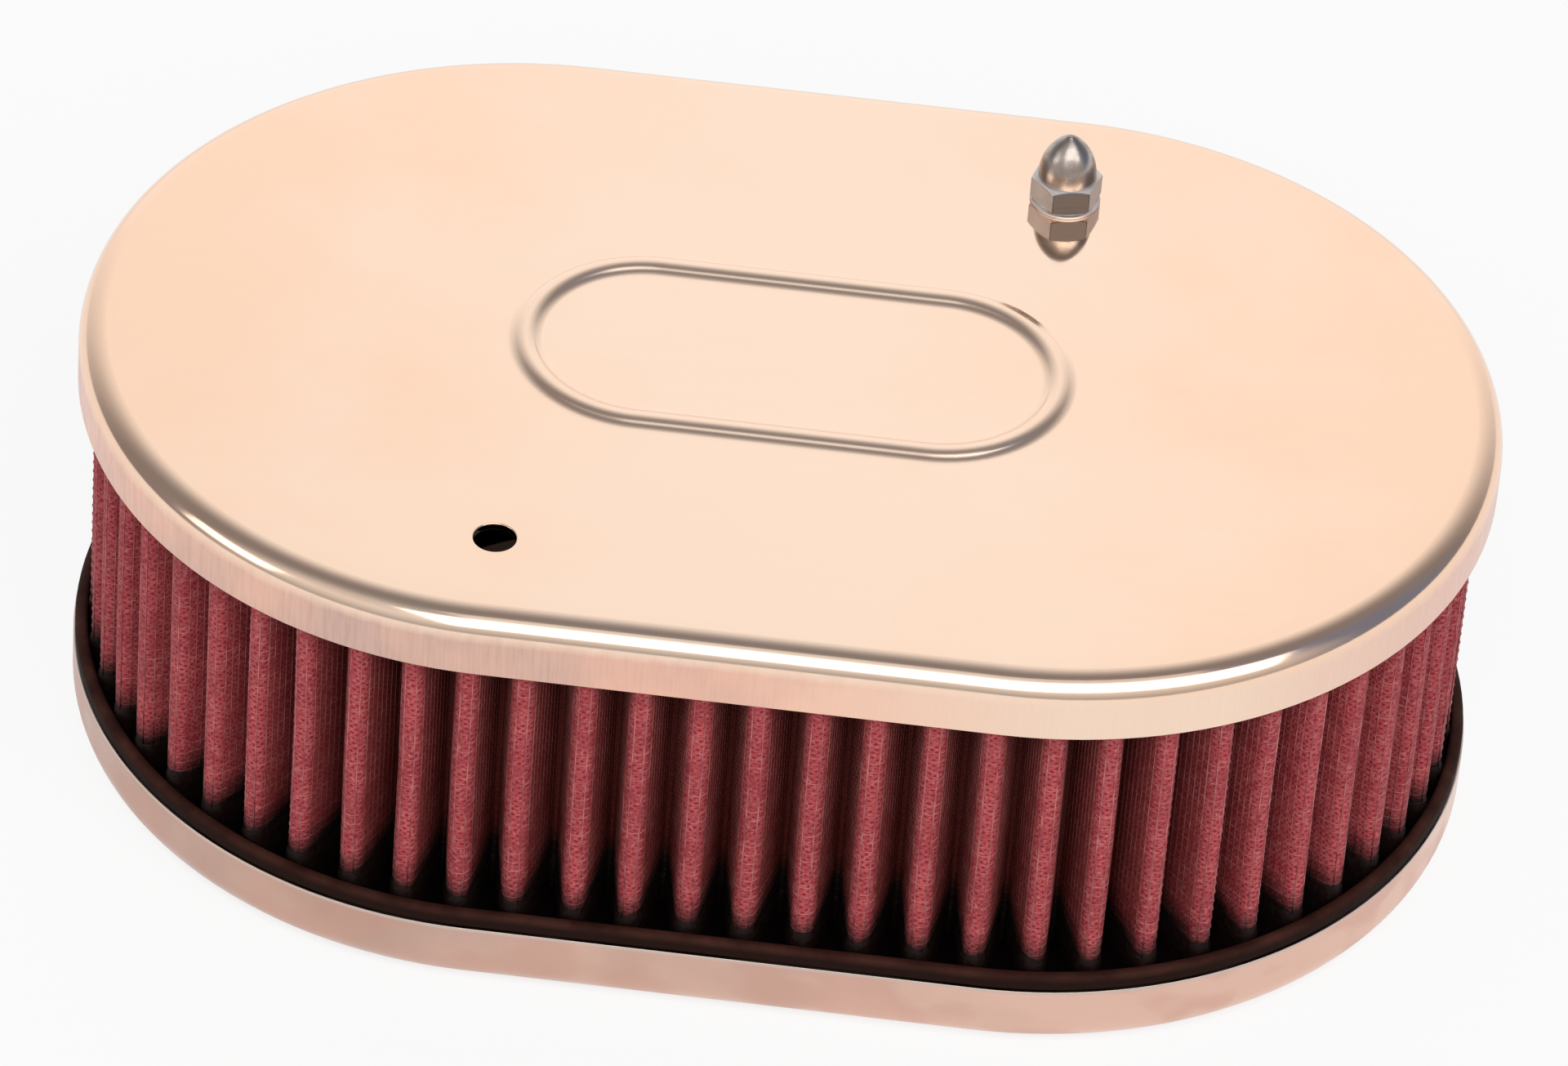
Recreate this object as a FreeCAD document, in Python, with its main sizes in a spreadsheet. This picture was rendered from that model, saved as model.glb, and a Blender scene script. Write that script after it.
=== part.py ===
import FreeCAD, Part
import math
import os

import Sketcher

# Oval air cleaner for a twin-choke downdraught carburettor.
# Frame: millimetres, origin at the middle of the base pan's underside, X along the oval, Z up.
# The front (the side of the empty cover hole) faces -Y.

DRIVING = {
    # oval outline shared by the cover and the base pan
    "cover_length": 177.8,
    "cover_width": 114.3,
    "overall_height": 58.8,
    # pressed sheet
    "sheet": 1.0,
    "cover_bend": 3.5,
    "cover_skirt": 8.5,
    "pan_bend": 4.2,
    "pan_rim": 9.2,
    # stiffening bead pressed into the cover
    "bead_length": 70.0,
    "bead_width": 34.0,
    "bead_band": 3.2,
    "bead_rise": 0.8,
    "bead_wall": 0.75,
    "bead_foot": 0.04,
    # pleated element
    "pleat_count": 66,
    "pleat_phase": 2.6,
    "pleat_depth": 10.0,
    "crest_inset": 1.9,
    "gauze_thick": 0.9,
    "screen_thick": 0.25,
    "pleat_bend": 0.1,
    "pleat_fit": 0.05,
    # moulded end rings
    "ring_gap": 0.3,
    "ring_margin": 1.1,
    "lower_seat": 7.5,
    "upper_seat": 4.0,
    "lip_rise": 2.2,
    "lip_setback": 0.2,
    "upper_lip": 1.9,
    # carburettor opening in the pan
    "opening_length": 100.0,
    "opening_width": 52.0,
    "collar_height": 5.0,
    "collar_bend": 2.0,
    # fixing holes: in from the long sides, and to the left of the rounded ends' centres
    "front_edge": 15.95,
    "rear_edge": 18.65,
    "left_offset": 0.25,
    "right_offset": 0.95,
    "fixing_hole": 5.3,
    # cover stud and its nuts
    "thread_size": 5.0,
    "thread_clearance": 0.05,
    "stud_head": 7.8,
    "stud_head_gap": 0.05,
    "stud_reach": 6.0,
    "stud_chamfer": 0.5,
    "nut_flats": 8.0,
    "nut_chamfer": 0.2,
    "stud_nut_height": 4.0,
    "washer_size": 9.0,
    "washer_thick": 1.0,
    "cap_hex_height": 4.0,
    "cap_height": 10.4,
    "cap_base": 7.4,
    "cap_tip": 0.9,
    "dome_root": 1.0,
    "cap_bore_depth": 6.6,
    "cap_nut_turn": -16.6,
}

# sizes and places worked out from the driving dimensions
DERIVED = {
    "end_radius": "=Sizes.cover_width / 2",
    "end_span": "=Sizes.cover_length - Sizes.cover_width",
    "cover_inner_bend": "=Sizes.cover_bend - Sizes.sheet",
    "pan_inner_bend": "=Sizes.pan_bend - Sizes.sheet",
    "skirt_z": "=Sizes.overall_height - Sizes.cover_skirt",
    "cover_inside_z": "=Sizes.overall_height - Sizes.sheet",
    "bead_end": "=Sizes.bead_width / 2",
    "bead_span": "=Sizes.bead_length - Sizes.bead_width",
    "bead_middle": "=bead_end - Sizes.bead_band / 2",
    "bead_groove": "=Sizes.bead_band / 2 - Sizes.bead_wall",
    "bead_round": "=Sizes.bead_rise - Sizes.bead_foot",
    "pleat_pack": "=Sizes.gauze_thick + 2 * Sizes.screen_thick",
    "pleat_flat": "=pleat_pack + 2 * Sizes.pleat_bend",
    "crest_radius": "=end_radius - Sizes.crest_inset - pleat_pack / 2",
    "seat_z": "=Sizes.sheet + Sizes.lower_seat",
    "pleat_top_z": "=cover_inside_z - Sizes.upper_seat",
    "ring_outer": "=Sizes.sheet + Sizes.ring_gap",
    "ring_inner": "=Sizes.crest_inset + Sizes.pleat_depth + Sizes.pleat_fit + Sizes.ring_margin",
    "channel_outer": "=Sizes.crest_inset - Sizes.pleat_fit",
    "channel_inner": "=Sizes.crest_inset + Sizes.pleat_depth + Sizes.pleat_fit",
    "lip_top_z": "=Sizes.pan_rim + Sizes.lip_rise",
    "lip_under_z": "=Sizes.pan_rim + Sizes.ring_gap",
    "opening_end": "=Sizes.opening_width / 2",
    "opening_span": "=Sizes.opening_length - Sizes.opening_width",
    "left_x": "=-end_span / 2 - Sizes.left_offset",
    "right_x": "=end_span / 2 - Sizes.right_offset",
    "front_y": "=Sizes.front_edge - end_radius",
    "rear_y": "=end_radius - Sizes.rear_edge",
    "washer_top_z": "=Sizes.sheet + Sizes.washer_thick",
    "nut_bore": "=Sizes.thread_size + 2 * Sizes.thread_clearance",
    "chamfer_radius": "=Sizes.nut_flats / 2 - Sizes.nut_chamfer",
    "corner_radius": "=Sizes.nut_flats / 2 / cos(30) + Sizes.nut_chamfer",
    "chamfer_drop": "=(corner_radius - chamfer_radius) * tan(30)",
    "stud_nut_top_z": "=washer_top_z + Sizes.stud_nut_height",
    "cap_hex_top_z": "=Sizes.overall_height + Sizes.cap_hex_height",
    "stud_head_hole": "=Sizes.stud_head + 2 * Sizes.stud_head_gap",
    "stud_top_z": "=Sizes.overall_height + Sizes.stud_reach",
}

doc = FreeCAD.newDocument("air_cleaner")
checked = []


def fill_sheet(name, cells):
    """A spreadsheet of named cells."""
    table = doc.addObject("Spreadsheet::Sheet", name)
    for row, (alias, value) in enumerate(cells.items(), start=1):
        table.set(f"A{row}", alias)
        table.set(f"B{row}", str(value))
        table.setAlias(f"B{row}", alias)
    doc.recompute()
    return table


sizes = fill_sheet("Sizes", DRIVING)
places = fill_sheet("Places", DERIVED)


def size(alias):
    """A size read back from whichever sheet holds it."""
    table = sizes if alias in DRIVING else places
    return float(table.get(alias))


def new_body(label):
    """An empty body in the part's own frame."""
    body = doc.addObject("PartDesign::Body", label)
    body.Label = label
    checked.append(body)
    return body


def new_stud_body(label, turn_text="0"):
    """An empty body on the cover stud's axis, turned about it."""
    body = new_body(label)
    body.Placement = FreeCAD.Placement(FreeCAD.Vector(), FreeCAD.Rotation(FreeCAD.Vector(0, 0, 1), 1))
    body.setExpression("Placement.Base.x", "Places.right_x")
    body.setExpression("Placement.Base.y", "Places.rear_y")
    body.setExpression("Placement.Rotation.Angle", turn_text)
    return body


def origin_plane(body, role):
    return next(item for item in body.Origin.OriginFeatures if item.Role == role)


def new_sketch(body, name, height_text):
    """A level sketch in a body, raised to a height."""
    sketch = body.newObject("Sketcher::SketchObject", name)
    sketch.AttachmentSupport = [(origin_plane(body, "XY_Plane"), "")]
    sketch.MapMode = "FlatFace"
    if height_text:
        sketch.setExpression("AttachmentOffset.Base.z", height_text)
    return sketch


def add_stadium(sketch, tag, span_text, radius_text):
    """A closed oval of two straights and two half circles, centred on the sketch."""
    half = 20.0
    radius = 10.0
    up = FreeCAD.Vector(0, 0, 1)
    right = FreeCAD.Vector(half, 0, 0)
    left = FreeCAD.Vector(-half, 0, 0)
    front = FreeCAD.Vector(0, -radius, 0)
    quarter = math.pi / 2
    first = sketch.addGeometry(Part.LineSegment(left + front, right + front), False)
    sketch.addGeometry(Part.ArcOfCircle(Part.Circle(right, up, radius), -quarter, quarter), False)
    sketch.addGeometry(Part.LineSegment(right - front, left - front), False)
    sketch.addGeometry(Part.ArcOfCircle(Part.Circle(left, up, radius), quarter, 3 * quarter), False)
    bottom, east, top, west = range(first, first + 4)
    for one, other in ((bottom, east), (east, top), (top, west), (west, bottom)):
        sketch.addConstraint(Sketcher.Constraint("Tangent", one, 2, other, 1))
    sketch.addConstraint(Sketcher.Constraint("Symmetric", east, 3, west, 3, -1, 1))
    sketch.addConstraint(Sketcher.Constraint("PointOnObject", east, 3, -1))
    sketch.addConstraint(Sketcher.Constraint("Equal", east, west))
    index = sketch.addConstraint(Sketcher.Constraint("DistanceX", west, 3, east, 3, 2 * half))
    sketch.renameConstraint(index, tag + "_span")
    sketch.setExpression("Constraints." + tag + "_span", span_text)
    index = sketch.addConstraint(Sketcher.Constraint("Radius", east, radius))
    sketch.renameConstraint(index, tag + "_radius")
    sketch.setExpression("Constraints." + tag + "_radius", radius_text)


def add_circle(sketch, tag, diameter_text, x_text=None, y_text=None):
    """A circle at the sketch's origin, or at a named place."""
    start = FreeCAD.Vector(11, 12, 0) if x_text else FreeCAD.Vector(0, 0, 0)
    circle = sketch.addGeometry(Part.Circle(start, FreeCAD.Vector(0, 0, 1), 2.0), False)
    if x_text:
        # signed distances from the origin, so that a hole may stand on any side
        index = sketch.addConstraint(Sketcher.Constraint("DistanceX", -1, 1, circle, 3, start.x))
        sketch.renameConstraint(index, tag + "_x")
        sketch.setExpression("Constraints." + tag + "_x", x_text)
        index = sketch.addConstraint(Sketcher.Constraint("DistanceY", -1, 1, circle, 3, start.y))
        sketch.renameConstraint(index, tag + "_y")
        sketch.setExpression("Constraints." + tag + "_y", y_text)
    else:
        sketch.addConstraint(Sketcher.Constraint("Coincident", circle, 3, -1, 1))
    index = sketch.addConstraint(Sketcher.Constraint("Diameter", circle, 4.0))
    sketch.renameConstraint(index, tag + "_diameter")
    sketch.setExpression("Constraints." + tag + "_diameter", diameter_text)


def add_hexagon(sketch, flats_text):
    """A hexagon about the origin with two flats facing the sketch's X axis ends."""
    corner = 5.0
    points = [FreeCAD.Vector(corner * math.cos(math.radians(60 * k + 30)),
                             corner * math.sin(math.radians(60 * k + 30)), 0) for k in range(6)]
    sides = [sketch.addGeometry(Part.LineSegment(points[k], points[(k + 1) % 6]), False) for k in range(6)]
    ring = sketch.addGeometry(Part.Circle(FreeCAD.Vector(0, 0, 0), FreeCAD.Vector(0, 0, 1), corner), True)
    for k, side in enumerate(sides):
        sketch.addConstraint(Sketcher.Constraint("Coincident", side, 2, sides[(k + 1) % 6], 1))
        sketch.addConstraint(Sketcher.Constraint("PointOnObject", side, 1, ring))
    for side in sides[1:]:
        sketch.addConstraint(Sketcher.Constraint("Equal", sides[0], side))
    sketch.addConstraint(Sketcher.Constraint("Coincident", ring, 3, -1, 1))
    sketch.addConstraint(Sketcher.Constraint("Vertical", sides[5]))
    index = sketch.addConstraint(Sketcher.Constraint("Diameter", ring, 2 * corner))
    sketch.renameConstraint(index, "corners")
    sketch.setExpression("Constraints.corners", "(" + flats_text + ") / cos(30 deg)")


def pad(body, name, sketch, length_text):
    feature = body.newObject("PartDesign::Pad", name)
    feature.Profile = sketch
    feature.setExpression("Length", length_text)
    doc.recompute()
    return feature


def pocket(body, name, sketch, length_text, upwards):
    """A cut into the solid, upwards or downwards from its sketch; it has to remove material."""
    before = body.Shape.Volume
    feature = body.newObject("PartDesign::Pocket", name)
    feature.Profile = sketch
    feature.Reversed = upwards
    feature.setExpression("Length", length_text)
    doc.recompute()
    if not body.Shape.Volume < before:
        raise RuntimeError(name + " cuts nothing")
    return feature


def edges_at(shape, height, keep):
    """Names of the level edges at a height whose reach from the middle line passes keep."""
    names = []
    for number, edge in enumerate(shape.Edges, start=1):
        box = edge.BoundBox
        if abs(box.ZMax - height) < 1e-4 and abs(box.ZMin - height) < 1e-4:
            if keep(max(abs(box.YMax), abs(box.YMin))):
                names.append("Edge" + str(number))
    return names


def fillet(body, name, feature, names, radius_text):
    rounding = body.newObject("PartDesign::Fillet", name)
    rounding.Base = (feature, names)
    rounding.setExpression("Radius", radius_text)
    doc.recompute()
    return rounding


def ring_edges(shape, height, radius):
    """Names of the level edges of the oval with this end radius, at a height."""
    return edges_at(shape, height, lambda reach: abs(reach - radius) < 1e-3)


def add_fixing_circle(sketch, corner, diameter_text):
    """A circle at one corner of the fixing rectangle, such as front_left."""
    row, column = corner.split("_")
    add_circle(sketch, corner, diameter_text, "Places." + column + "_x", "Places." + row + "_y")


def make_top_cover():
    """Pressed cover: flat top, rounded edge, short skirt, a stiffening bead and two stud holes."""
    body = new_body("top_cover")
    outline = new_sketch(body, "cover_outline", "Places.skirt_z")
    add_stadium(outline, "outer", "Places.end_span", "Places.end_radius")
    pad(body, "cover_block", outline, "Sizes.cover_skirt")
    inside = new_sketch(body, "cover_inside", "Places.skirt_z")
    add_stadium(inside, "inner", "Places.end_span", "Places.end_radius - Sizes.sheet")
    hollow = pocket(body, "cover_hollow", inside, "Sizes.cover_skirt - Sizes.sheet", True)
    names = ring_edges(hollow.Shape, size("cover_inside_z"), size("end_radius") - size("sheet"))
    rounded = fillet(body, "cover_inner_edge", hollow, names, "Places.cover_inner_bend")
    names = ring_edges(rounded.Shape, size("overall_height"), size("end_radius"))
    fillet(body, "cover_edge", rounded, names, "Sizes.cover_bend")

    band = new_sketch(body, "bead_band_outline", "Sizes.overall_height")
    add_stadium(band, "outer", "Places.bead_span", "Places.bead_end")
    add_stadium(band, "inner", "Places.bead_span", "Places.bead_end - Sizes.bead_band")
    ridge = pad(body, "bead_ridge", band, "Sizes.bead_rise")
    top = size("overall_height") + size("bead_rise")
    names = ring_edges(ridge.Shape, top, size("bead_end"))
    names += ring_edges(ridge.Shape, top, size("bead_end") - size("bead_band"))
    fillet(body, "bead_round", ridge, names, "Places.bead_round")

    groove = new_sketch(body, "bead_groove_outline", "Places.cover_inside_z")
    add_stadium(groove, "outer", "Places.bead_span", "Places.bead_middle + Places.bead_groove")
    add_stadium(groove, "inner", "Places.bead_span", "Places.bead_middle - Places.bead_groove")
    pocket(body, "bead_hollow", groove, "Sizes.bead_rise", True)

    holes = new_sketch(body, "cover_holes", "Sizes.overall_height")
    for corner in ("front_left", "rear_right"):
        add_fixing_circle(holes, corner, "Sizes.fixing_hole")
    pocket(body, "cover_stud_holes", holes, "2 * Sizes.sheet", False)
    return body


def make_base_pan():
    """Pressed pan: floor, rounded edge, upturned rim, collared carburettor opening, fixing holes."""
    body = new_body("base_pan")
    outline = new_sketch(body, "pan_outline", None)
    add_stadium(outline, "outer", "Places.end_span", "Places.end_radius")
    pad(body, "pan_block", outline, "Sizes.pan_rim")
    inside = new_sketch(body, "pan_inside", "Sizes.sheet")
    add_stadium(inside, "inner", "Places.end_span", "Places.end_radius - Sizes.sheet")
    hollow = pocket(body, "pan_hollow", inside, "Sizes.pan_rim", True)
    names = ring_edges(hollow.Shape, size("sheet"), size("end_radius") - size("sheet"))
    rounded = fillet(body, "pan_inner_edge", hollow, names, "Places.pan_inner_bend")
    names = ring_edges(rounded.Shape, 0.0, size("end_radius"))
    fillet(body, "pan_edge", rounded, names, "Sizes.pan_bend")

    collar = new_sketch(body, "collar_outline", None)
    add_stadium(collar, "outer", "Places.opening_span", "Places.opening_end + Sizes.sheet")
    tower = pad(body, "collar_block", collar, "Sizes.collar_height")
    names = ring_edges(tower.Shape, size("sheet"), size("opening_end") + size("sheet"))
    fillet(body, "collar_inner_bend", tower, names, "Sizes.collar_bend - Sizes.sheet")
    opening = new_sketch(body, "opening_outline", None)
    add_stadium(opening, "inner", "Places.opening_span", "Places.opening_end")
    mouth = pocket(body, "carburettor_opening", opening, "Sizes.collar_height + Sizes.sheet", True)
    names = ring_edges(mouth.Shape, 0.0, size("opening_end"))
    fillet(body, "collar_bend_edge", mouth, names, "Sizes.collar_bend")

    holes = new_sketch(body, "pan_holes", None)
    for corner in ("front_left", "front_right", "rear_left"):
        add_fixing_circle(holes, corner, "Sizes.fixing_hole")
    add_fixing_circle(holes, "rear_right", "Places.stud_head_hole")
    pocket(body, "pan_fixing_holes", holes, "2 * Sizes.sheet", True)
    return body


def make_lower_end_ring():
    """Moulded lower ring: fills the pan's edge, with a lip over the rim and a channel for the pleats."""
    body = new_body("lower_end_ring")
    band = new_sketch(body, "lower_band", "Sizes.sheet")
    add_stadium(band, "outer", "Places.end_span", "Places.end_radius - Places.ring_outer")
    add_stadium(band, "inner", "Places.end_span", "Places.end_radius - Places.ring_inner")
    block = pad(body, "lower_block", band, "Places.lip_top_z - Sizes.sheet")
    names = ring_edges(block.Shape, size("sheet"), size("end_radius") - size("ring_outer"))
    fillet(body, "lower_heel", block, names, "Places.pan_inner_bend")

    lip = new_sketch(body, "lip_band", "Places.lip_under_z")
    add_stadium(lip, "outer", "Places.end_span", "Places.end_radius - Sizes.lip_setback")
    add_stadium(lip, "inner", "Places.end_span", "Places.end_radius - Places.ring_outer - Sizes.ring_gap")
    pad(body, "lip_block", lip, "Places.lip_top_z - Places.lip_under_z")

    channel = new_sketch(body, "lower_channel", "Places.seat_z")
    add_stadium(channel, "outer", "Places.end_span", "Places.end_radius - Places.channel_outer")
    add_stadium(channel, "inner", "Places.end_span", "Places.end_radius - Places.channel_inner")
    cut = pocket(body, "lower_channel_cut", channel, "Places.lip_top_z", True)
    top = size("lip_top_z")
    names = ring_edges(cut.Shape, top, size("end_radius") - size("lip_setback"))
    fillet(body, "lip_round", cut, names, "min(Places.channel_outer - Sizes.lip_setback; "
           "Places.lip_top_z - Places.lip_under_z) / 2")
    return body


def make_upper_end_ring():
    """Moulded upper ring: fills the cover's edge, with a channel for the pleats."""
    body = new_body("upper_end_ring")
    band = new_sketch(body, "upper_band", "Places.pleat_top_z - Sizes.upper_lip")
    add_stadium(band, "outer", "Places.end_span", "Places.end_radius - Places.ring_outer")
    add_stadium(band, "inner", "Places.end_span", "Places.end_radius - Places.ring_inner")
    block = pad(body, "upper_block", band, "Sizes.upper_seat + Sizes.upper_lip")
    names = ring_edges(block.Shape, size("cover_inside_z"), size("end_radius") - size("ring_outer"))
    fillet(body, "upper_heel", block, names, "Places.cover_inner_bend")

    channel = new_sketch(body, "upper_channel", "Places.pleat_top_z")
    add_stadium(channel, "outer", "Places.end_span", "Places.end_radius - Places.channel_outer")
    add_stadium(channel, "inner", "Places.end_span", "Places.end_radius - Places.channel_inner")
    pocket(body, "upper_channel_cut", channel, "2 * Sizes.upper_lip", False)
    return body


def oval_point(distance, depth):
    """A point `distance` along the crest line from the middle of the front, and `depth` inside it."""
    half = size("end_span") / 2
    radius = size("crest_radius")
    bend = math.pi * radius
    along = distance % (4 * half + 2 * bend)
    inner = radius - depth
    if along < half:
        return along, -inner
    along -= half
    if along < bend:
        angle = along / radius - math.pi / 2
        return half + inner * math.cos(angle), inner * math.sin(angle)
    along -= bend
    if along < 2 * half:
        return half - along, inner
    along -= 2 * half
    if along < bend:
        angle = along / radius + math.pi / 2
        return -half + inner * math.cos(angle), inner * math.sin(angle)
    return along - bend - half, -inner


def pleat_line():
    """The middle line of the pleat pack, as points round the oval: a flat at each crest and each valley."""
    count = round(size("pleat_count"))
    pitch = (2 * size("end_span") + 2 * math.pi * size("crest_radius")) / count
    flat = size("pleat_flat") / 2
    deep = size("pleat_depth") - size("pleat_pack")
    points = []
    for pleat in range(count):
        crest = size("pleat_phase") + pitch * pleat
        for along, depth in ((crest, 0.0), (crest + pitch / 2, deep)):
            points.append(oval_point(along - flat, depth))
            points.append(oval_point(along + flat, depth))
    return points


def shifted_line(points, outwards):
    """The same closed line moved outwards, with its corners kept sharp."""
    moved = []
    for k, (x, y) in enumerate(points):
        back = points[k - 1]
        ahead = points[(k + 1) % len(points)]
        first = FreeCAD.Vector(x - back[0], y - back[1], 0).normalize()
        second = FreeCAD.Vector(ahead[0] - x, ahead[1] - y, 0).normalize()
        normal = FreeCAD.Vector(first.y + second.y, -first.x - second.x, 0).normalize()
        stretch = outwards / (normal.x * first.y - normal.y * first.x)
        moved.append(FreeCAD.Vector(x + normal.x * stretch, y + normal.y * stretch, size("seat_z")))
    return moved


def make_pleated_layer(label, line, outer, inner):
    """One layer of the pleat pack, between two distances from its middle line."""
    wires = []
    for offset in (outer, inner):
        points = shifted_line(line, offset)
        wires.append(Part.makePolygon(points + points[:1]))
    face = Part.makeFace(wires, "Part::FaceMakerBullseye")
    layer = doc.addObject("Part::Feature", label)
    layer.Label = label
    layer.Shape = face.extrude(FreeCAD.Vector(0, 0, size("pleat_top_z") - size("seat_z")))
    checked.append(layer)
    return layer


def make_pleats():
    """Outer wire screen, oiled gauze and inner wire screen, nested in each other."""
    line = pleat_line()
    gauze = size("gauze_thick") / 2
    edge = gauze + size("screen_thick")
    make_pleated_layer("outer_screen", line, edge, gauze)
    make_pleated_layer("gauze_pleats", line, gauze, -gauze)
    make_pleated_layer("inner_screen", line, -gauze, -edge)


def make_cover_stud():
    """Long stud whose flat head fills its hole in the pan, flush underneath."""
    body = new_stud_body("cover_stud")
    head = new_sketch(body, "stud_head_outline", None)
    add_circle(head, "head", "Sizes.stud_head")
    pad(body, "stud_head_disc", head, "Sizes.sheet")
    shank = new_sketch(body, "shank_outline", None)
    add_circle(shank, "shank", "Sizes.thread_size")
    rod = pad(body, "stud_shank", shank, "Places.stud_top_z")
    names = edges_at(rod.Shape, size("stud_top_z"), lambda reach: True)
    end = body.newObject("PartDesign::Chamfer", "stud_end")
    end.Base = (rod, names)
    end.setExpression("Size", "Sizes.stud_chamfer")
    doc.recompute()
    return body


def make_stud_washer():
    """Small flat washer under the stud's nut."""
    body = new_stud_body("stud_washer")
    ring = new_sketch(body, "washer_outline", "Sizes.sheet")
    add_circle(ring, "outer", "Sizes.washer_size")
    add_circle(ring, "inner", "Sizes.fixing_hole")
    pad(body, "washer_ring", ring, "Sizes.washer_thick")
    return body


def add_profile(body, name, corners):
    """A closed outline in the XZ plane; each corner is a pair of expressions (radius, height)."""
    sketch = body.newObject("Sketcher::SketchObject", name)
    sketch.AttachmentSupport = [(origin_plane(body, "XZ_Plane"), "")]
    sketch.MapMode = "FlatFace"
    values = [tuple(float(places.evalExpression(text)) for text in corner) for corner in corners]
    count = len(values)
    for k in range(count):
        start = FreeCAD.Vector(values[k][0], values[k][1], 0)
        finish = FreeCAD.Vector(values[(k + 1) % count][0], values[(k + 1) % count][1], 0)
        sketch.addGeometry(Part.LineSegment(start, finish), False)
    for k in range(count):
        sketch.addConstraint(Sketcher.Constraint("Coincident", k, 2, (k + 1) % count, 1))
    for k, (radius_text, height_text) in enumerate(corners):
        for kind, text, value, tag in (("DistanceX", radius_text, values[k][0], "r"),
                                       ("DistanceY", height_text, values[k][1], "z")):
            if abs(value) < 1e-9:
                axis = -2 if kind == "DistanceX" else -1
                sketch.addConstraint(Sketcher.Constraint("PointOnObject", k, 1, axis))
                continue
            index = sketch.addConstraint(Sketcher.Constraint(kind, -1, 1, k, 1, value))
            sketch.renameConstraint(index, tag + str(k))
            sketch.setExpression("Constraints." + tag + str(k), text)
    return sketch


def turn_off(body, name, sketch):
    """A groove turned about the body's Z axis; it has to remove material."""
    before = body.Shape.Volume
    groove = body.newObject("PartDesign::Groove", name)
    groove.Profile = sketch
    groove.ReferenceAxis = (sketch, ["V_Axis"])
    groove.Angle = 360.0
    doc.recompute()
    if not body.Shape.Volume < before:
        raise RuntimeError(name + " cuts nothing")
    return groove


def chamfer_hexagon(body, tag, low_text, high_text):
    """The turned chamfers on a hexagon's corners, at its foot and at its top."""
    edge = "Places.chamfer_radius"
    clear = "Places.corner_radius"
    foot = add_profile(body, tag + "_foot_profile", (
        (edge, low_text), (clear, low_text), (clear, low_text + " + Places.chamfer_drop")))
    turn_off(body, tag + "_foot_chamfer", foot)
    head = add_profile(body, tag + "_head_profile", (
        (edge, high_text), (clear, high_text + " - Places.chamfer_drop"), (clear, high_text)))
    turn_off(body, tag + "_head_chamfer", head)


def make_stud_nut():
    """Hexagon nut that holds the stud to the pan."""
    body = new_stud_body("stud_nut")
    hexagon = new_sketch(body, "stud_nut_outline", "Places.washer_top_z")
    add_hexagon(hexagon, "Sizes.nut_flats")
    pad(body, "stud_nut_block", hexagon, "Sizes.stud_nut_height")
    chamfer_hexagon(body, "stud_nut", "Places.washer_top_z", "Places.stud_nut_top_z")
    bore = new_sketch(body, "stud_nut_bore_outline", "Places.washer_top_z")
    add_circle(bore, "bore", "Places.nut_bore")
    pocket(body, "stud_nut_bore", bore, "Sizes.stud_nut_height * 1.5", True)
    return body


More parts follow.
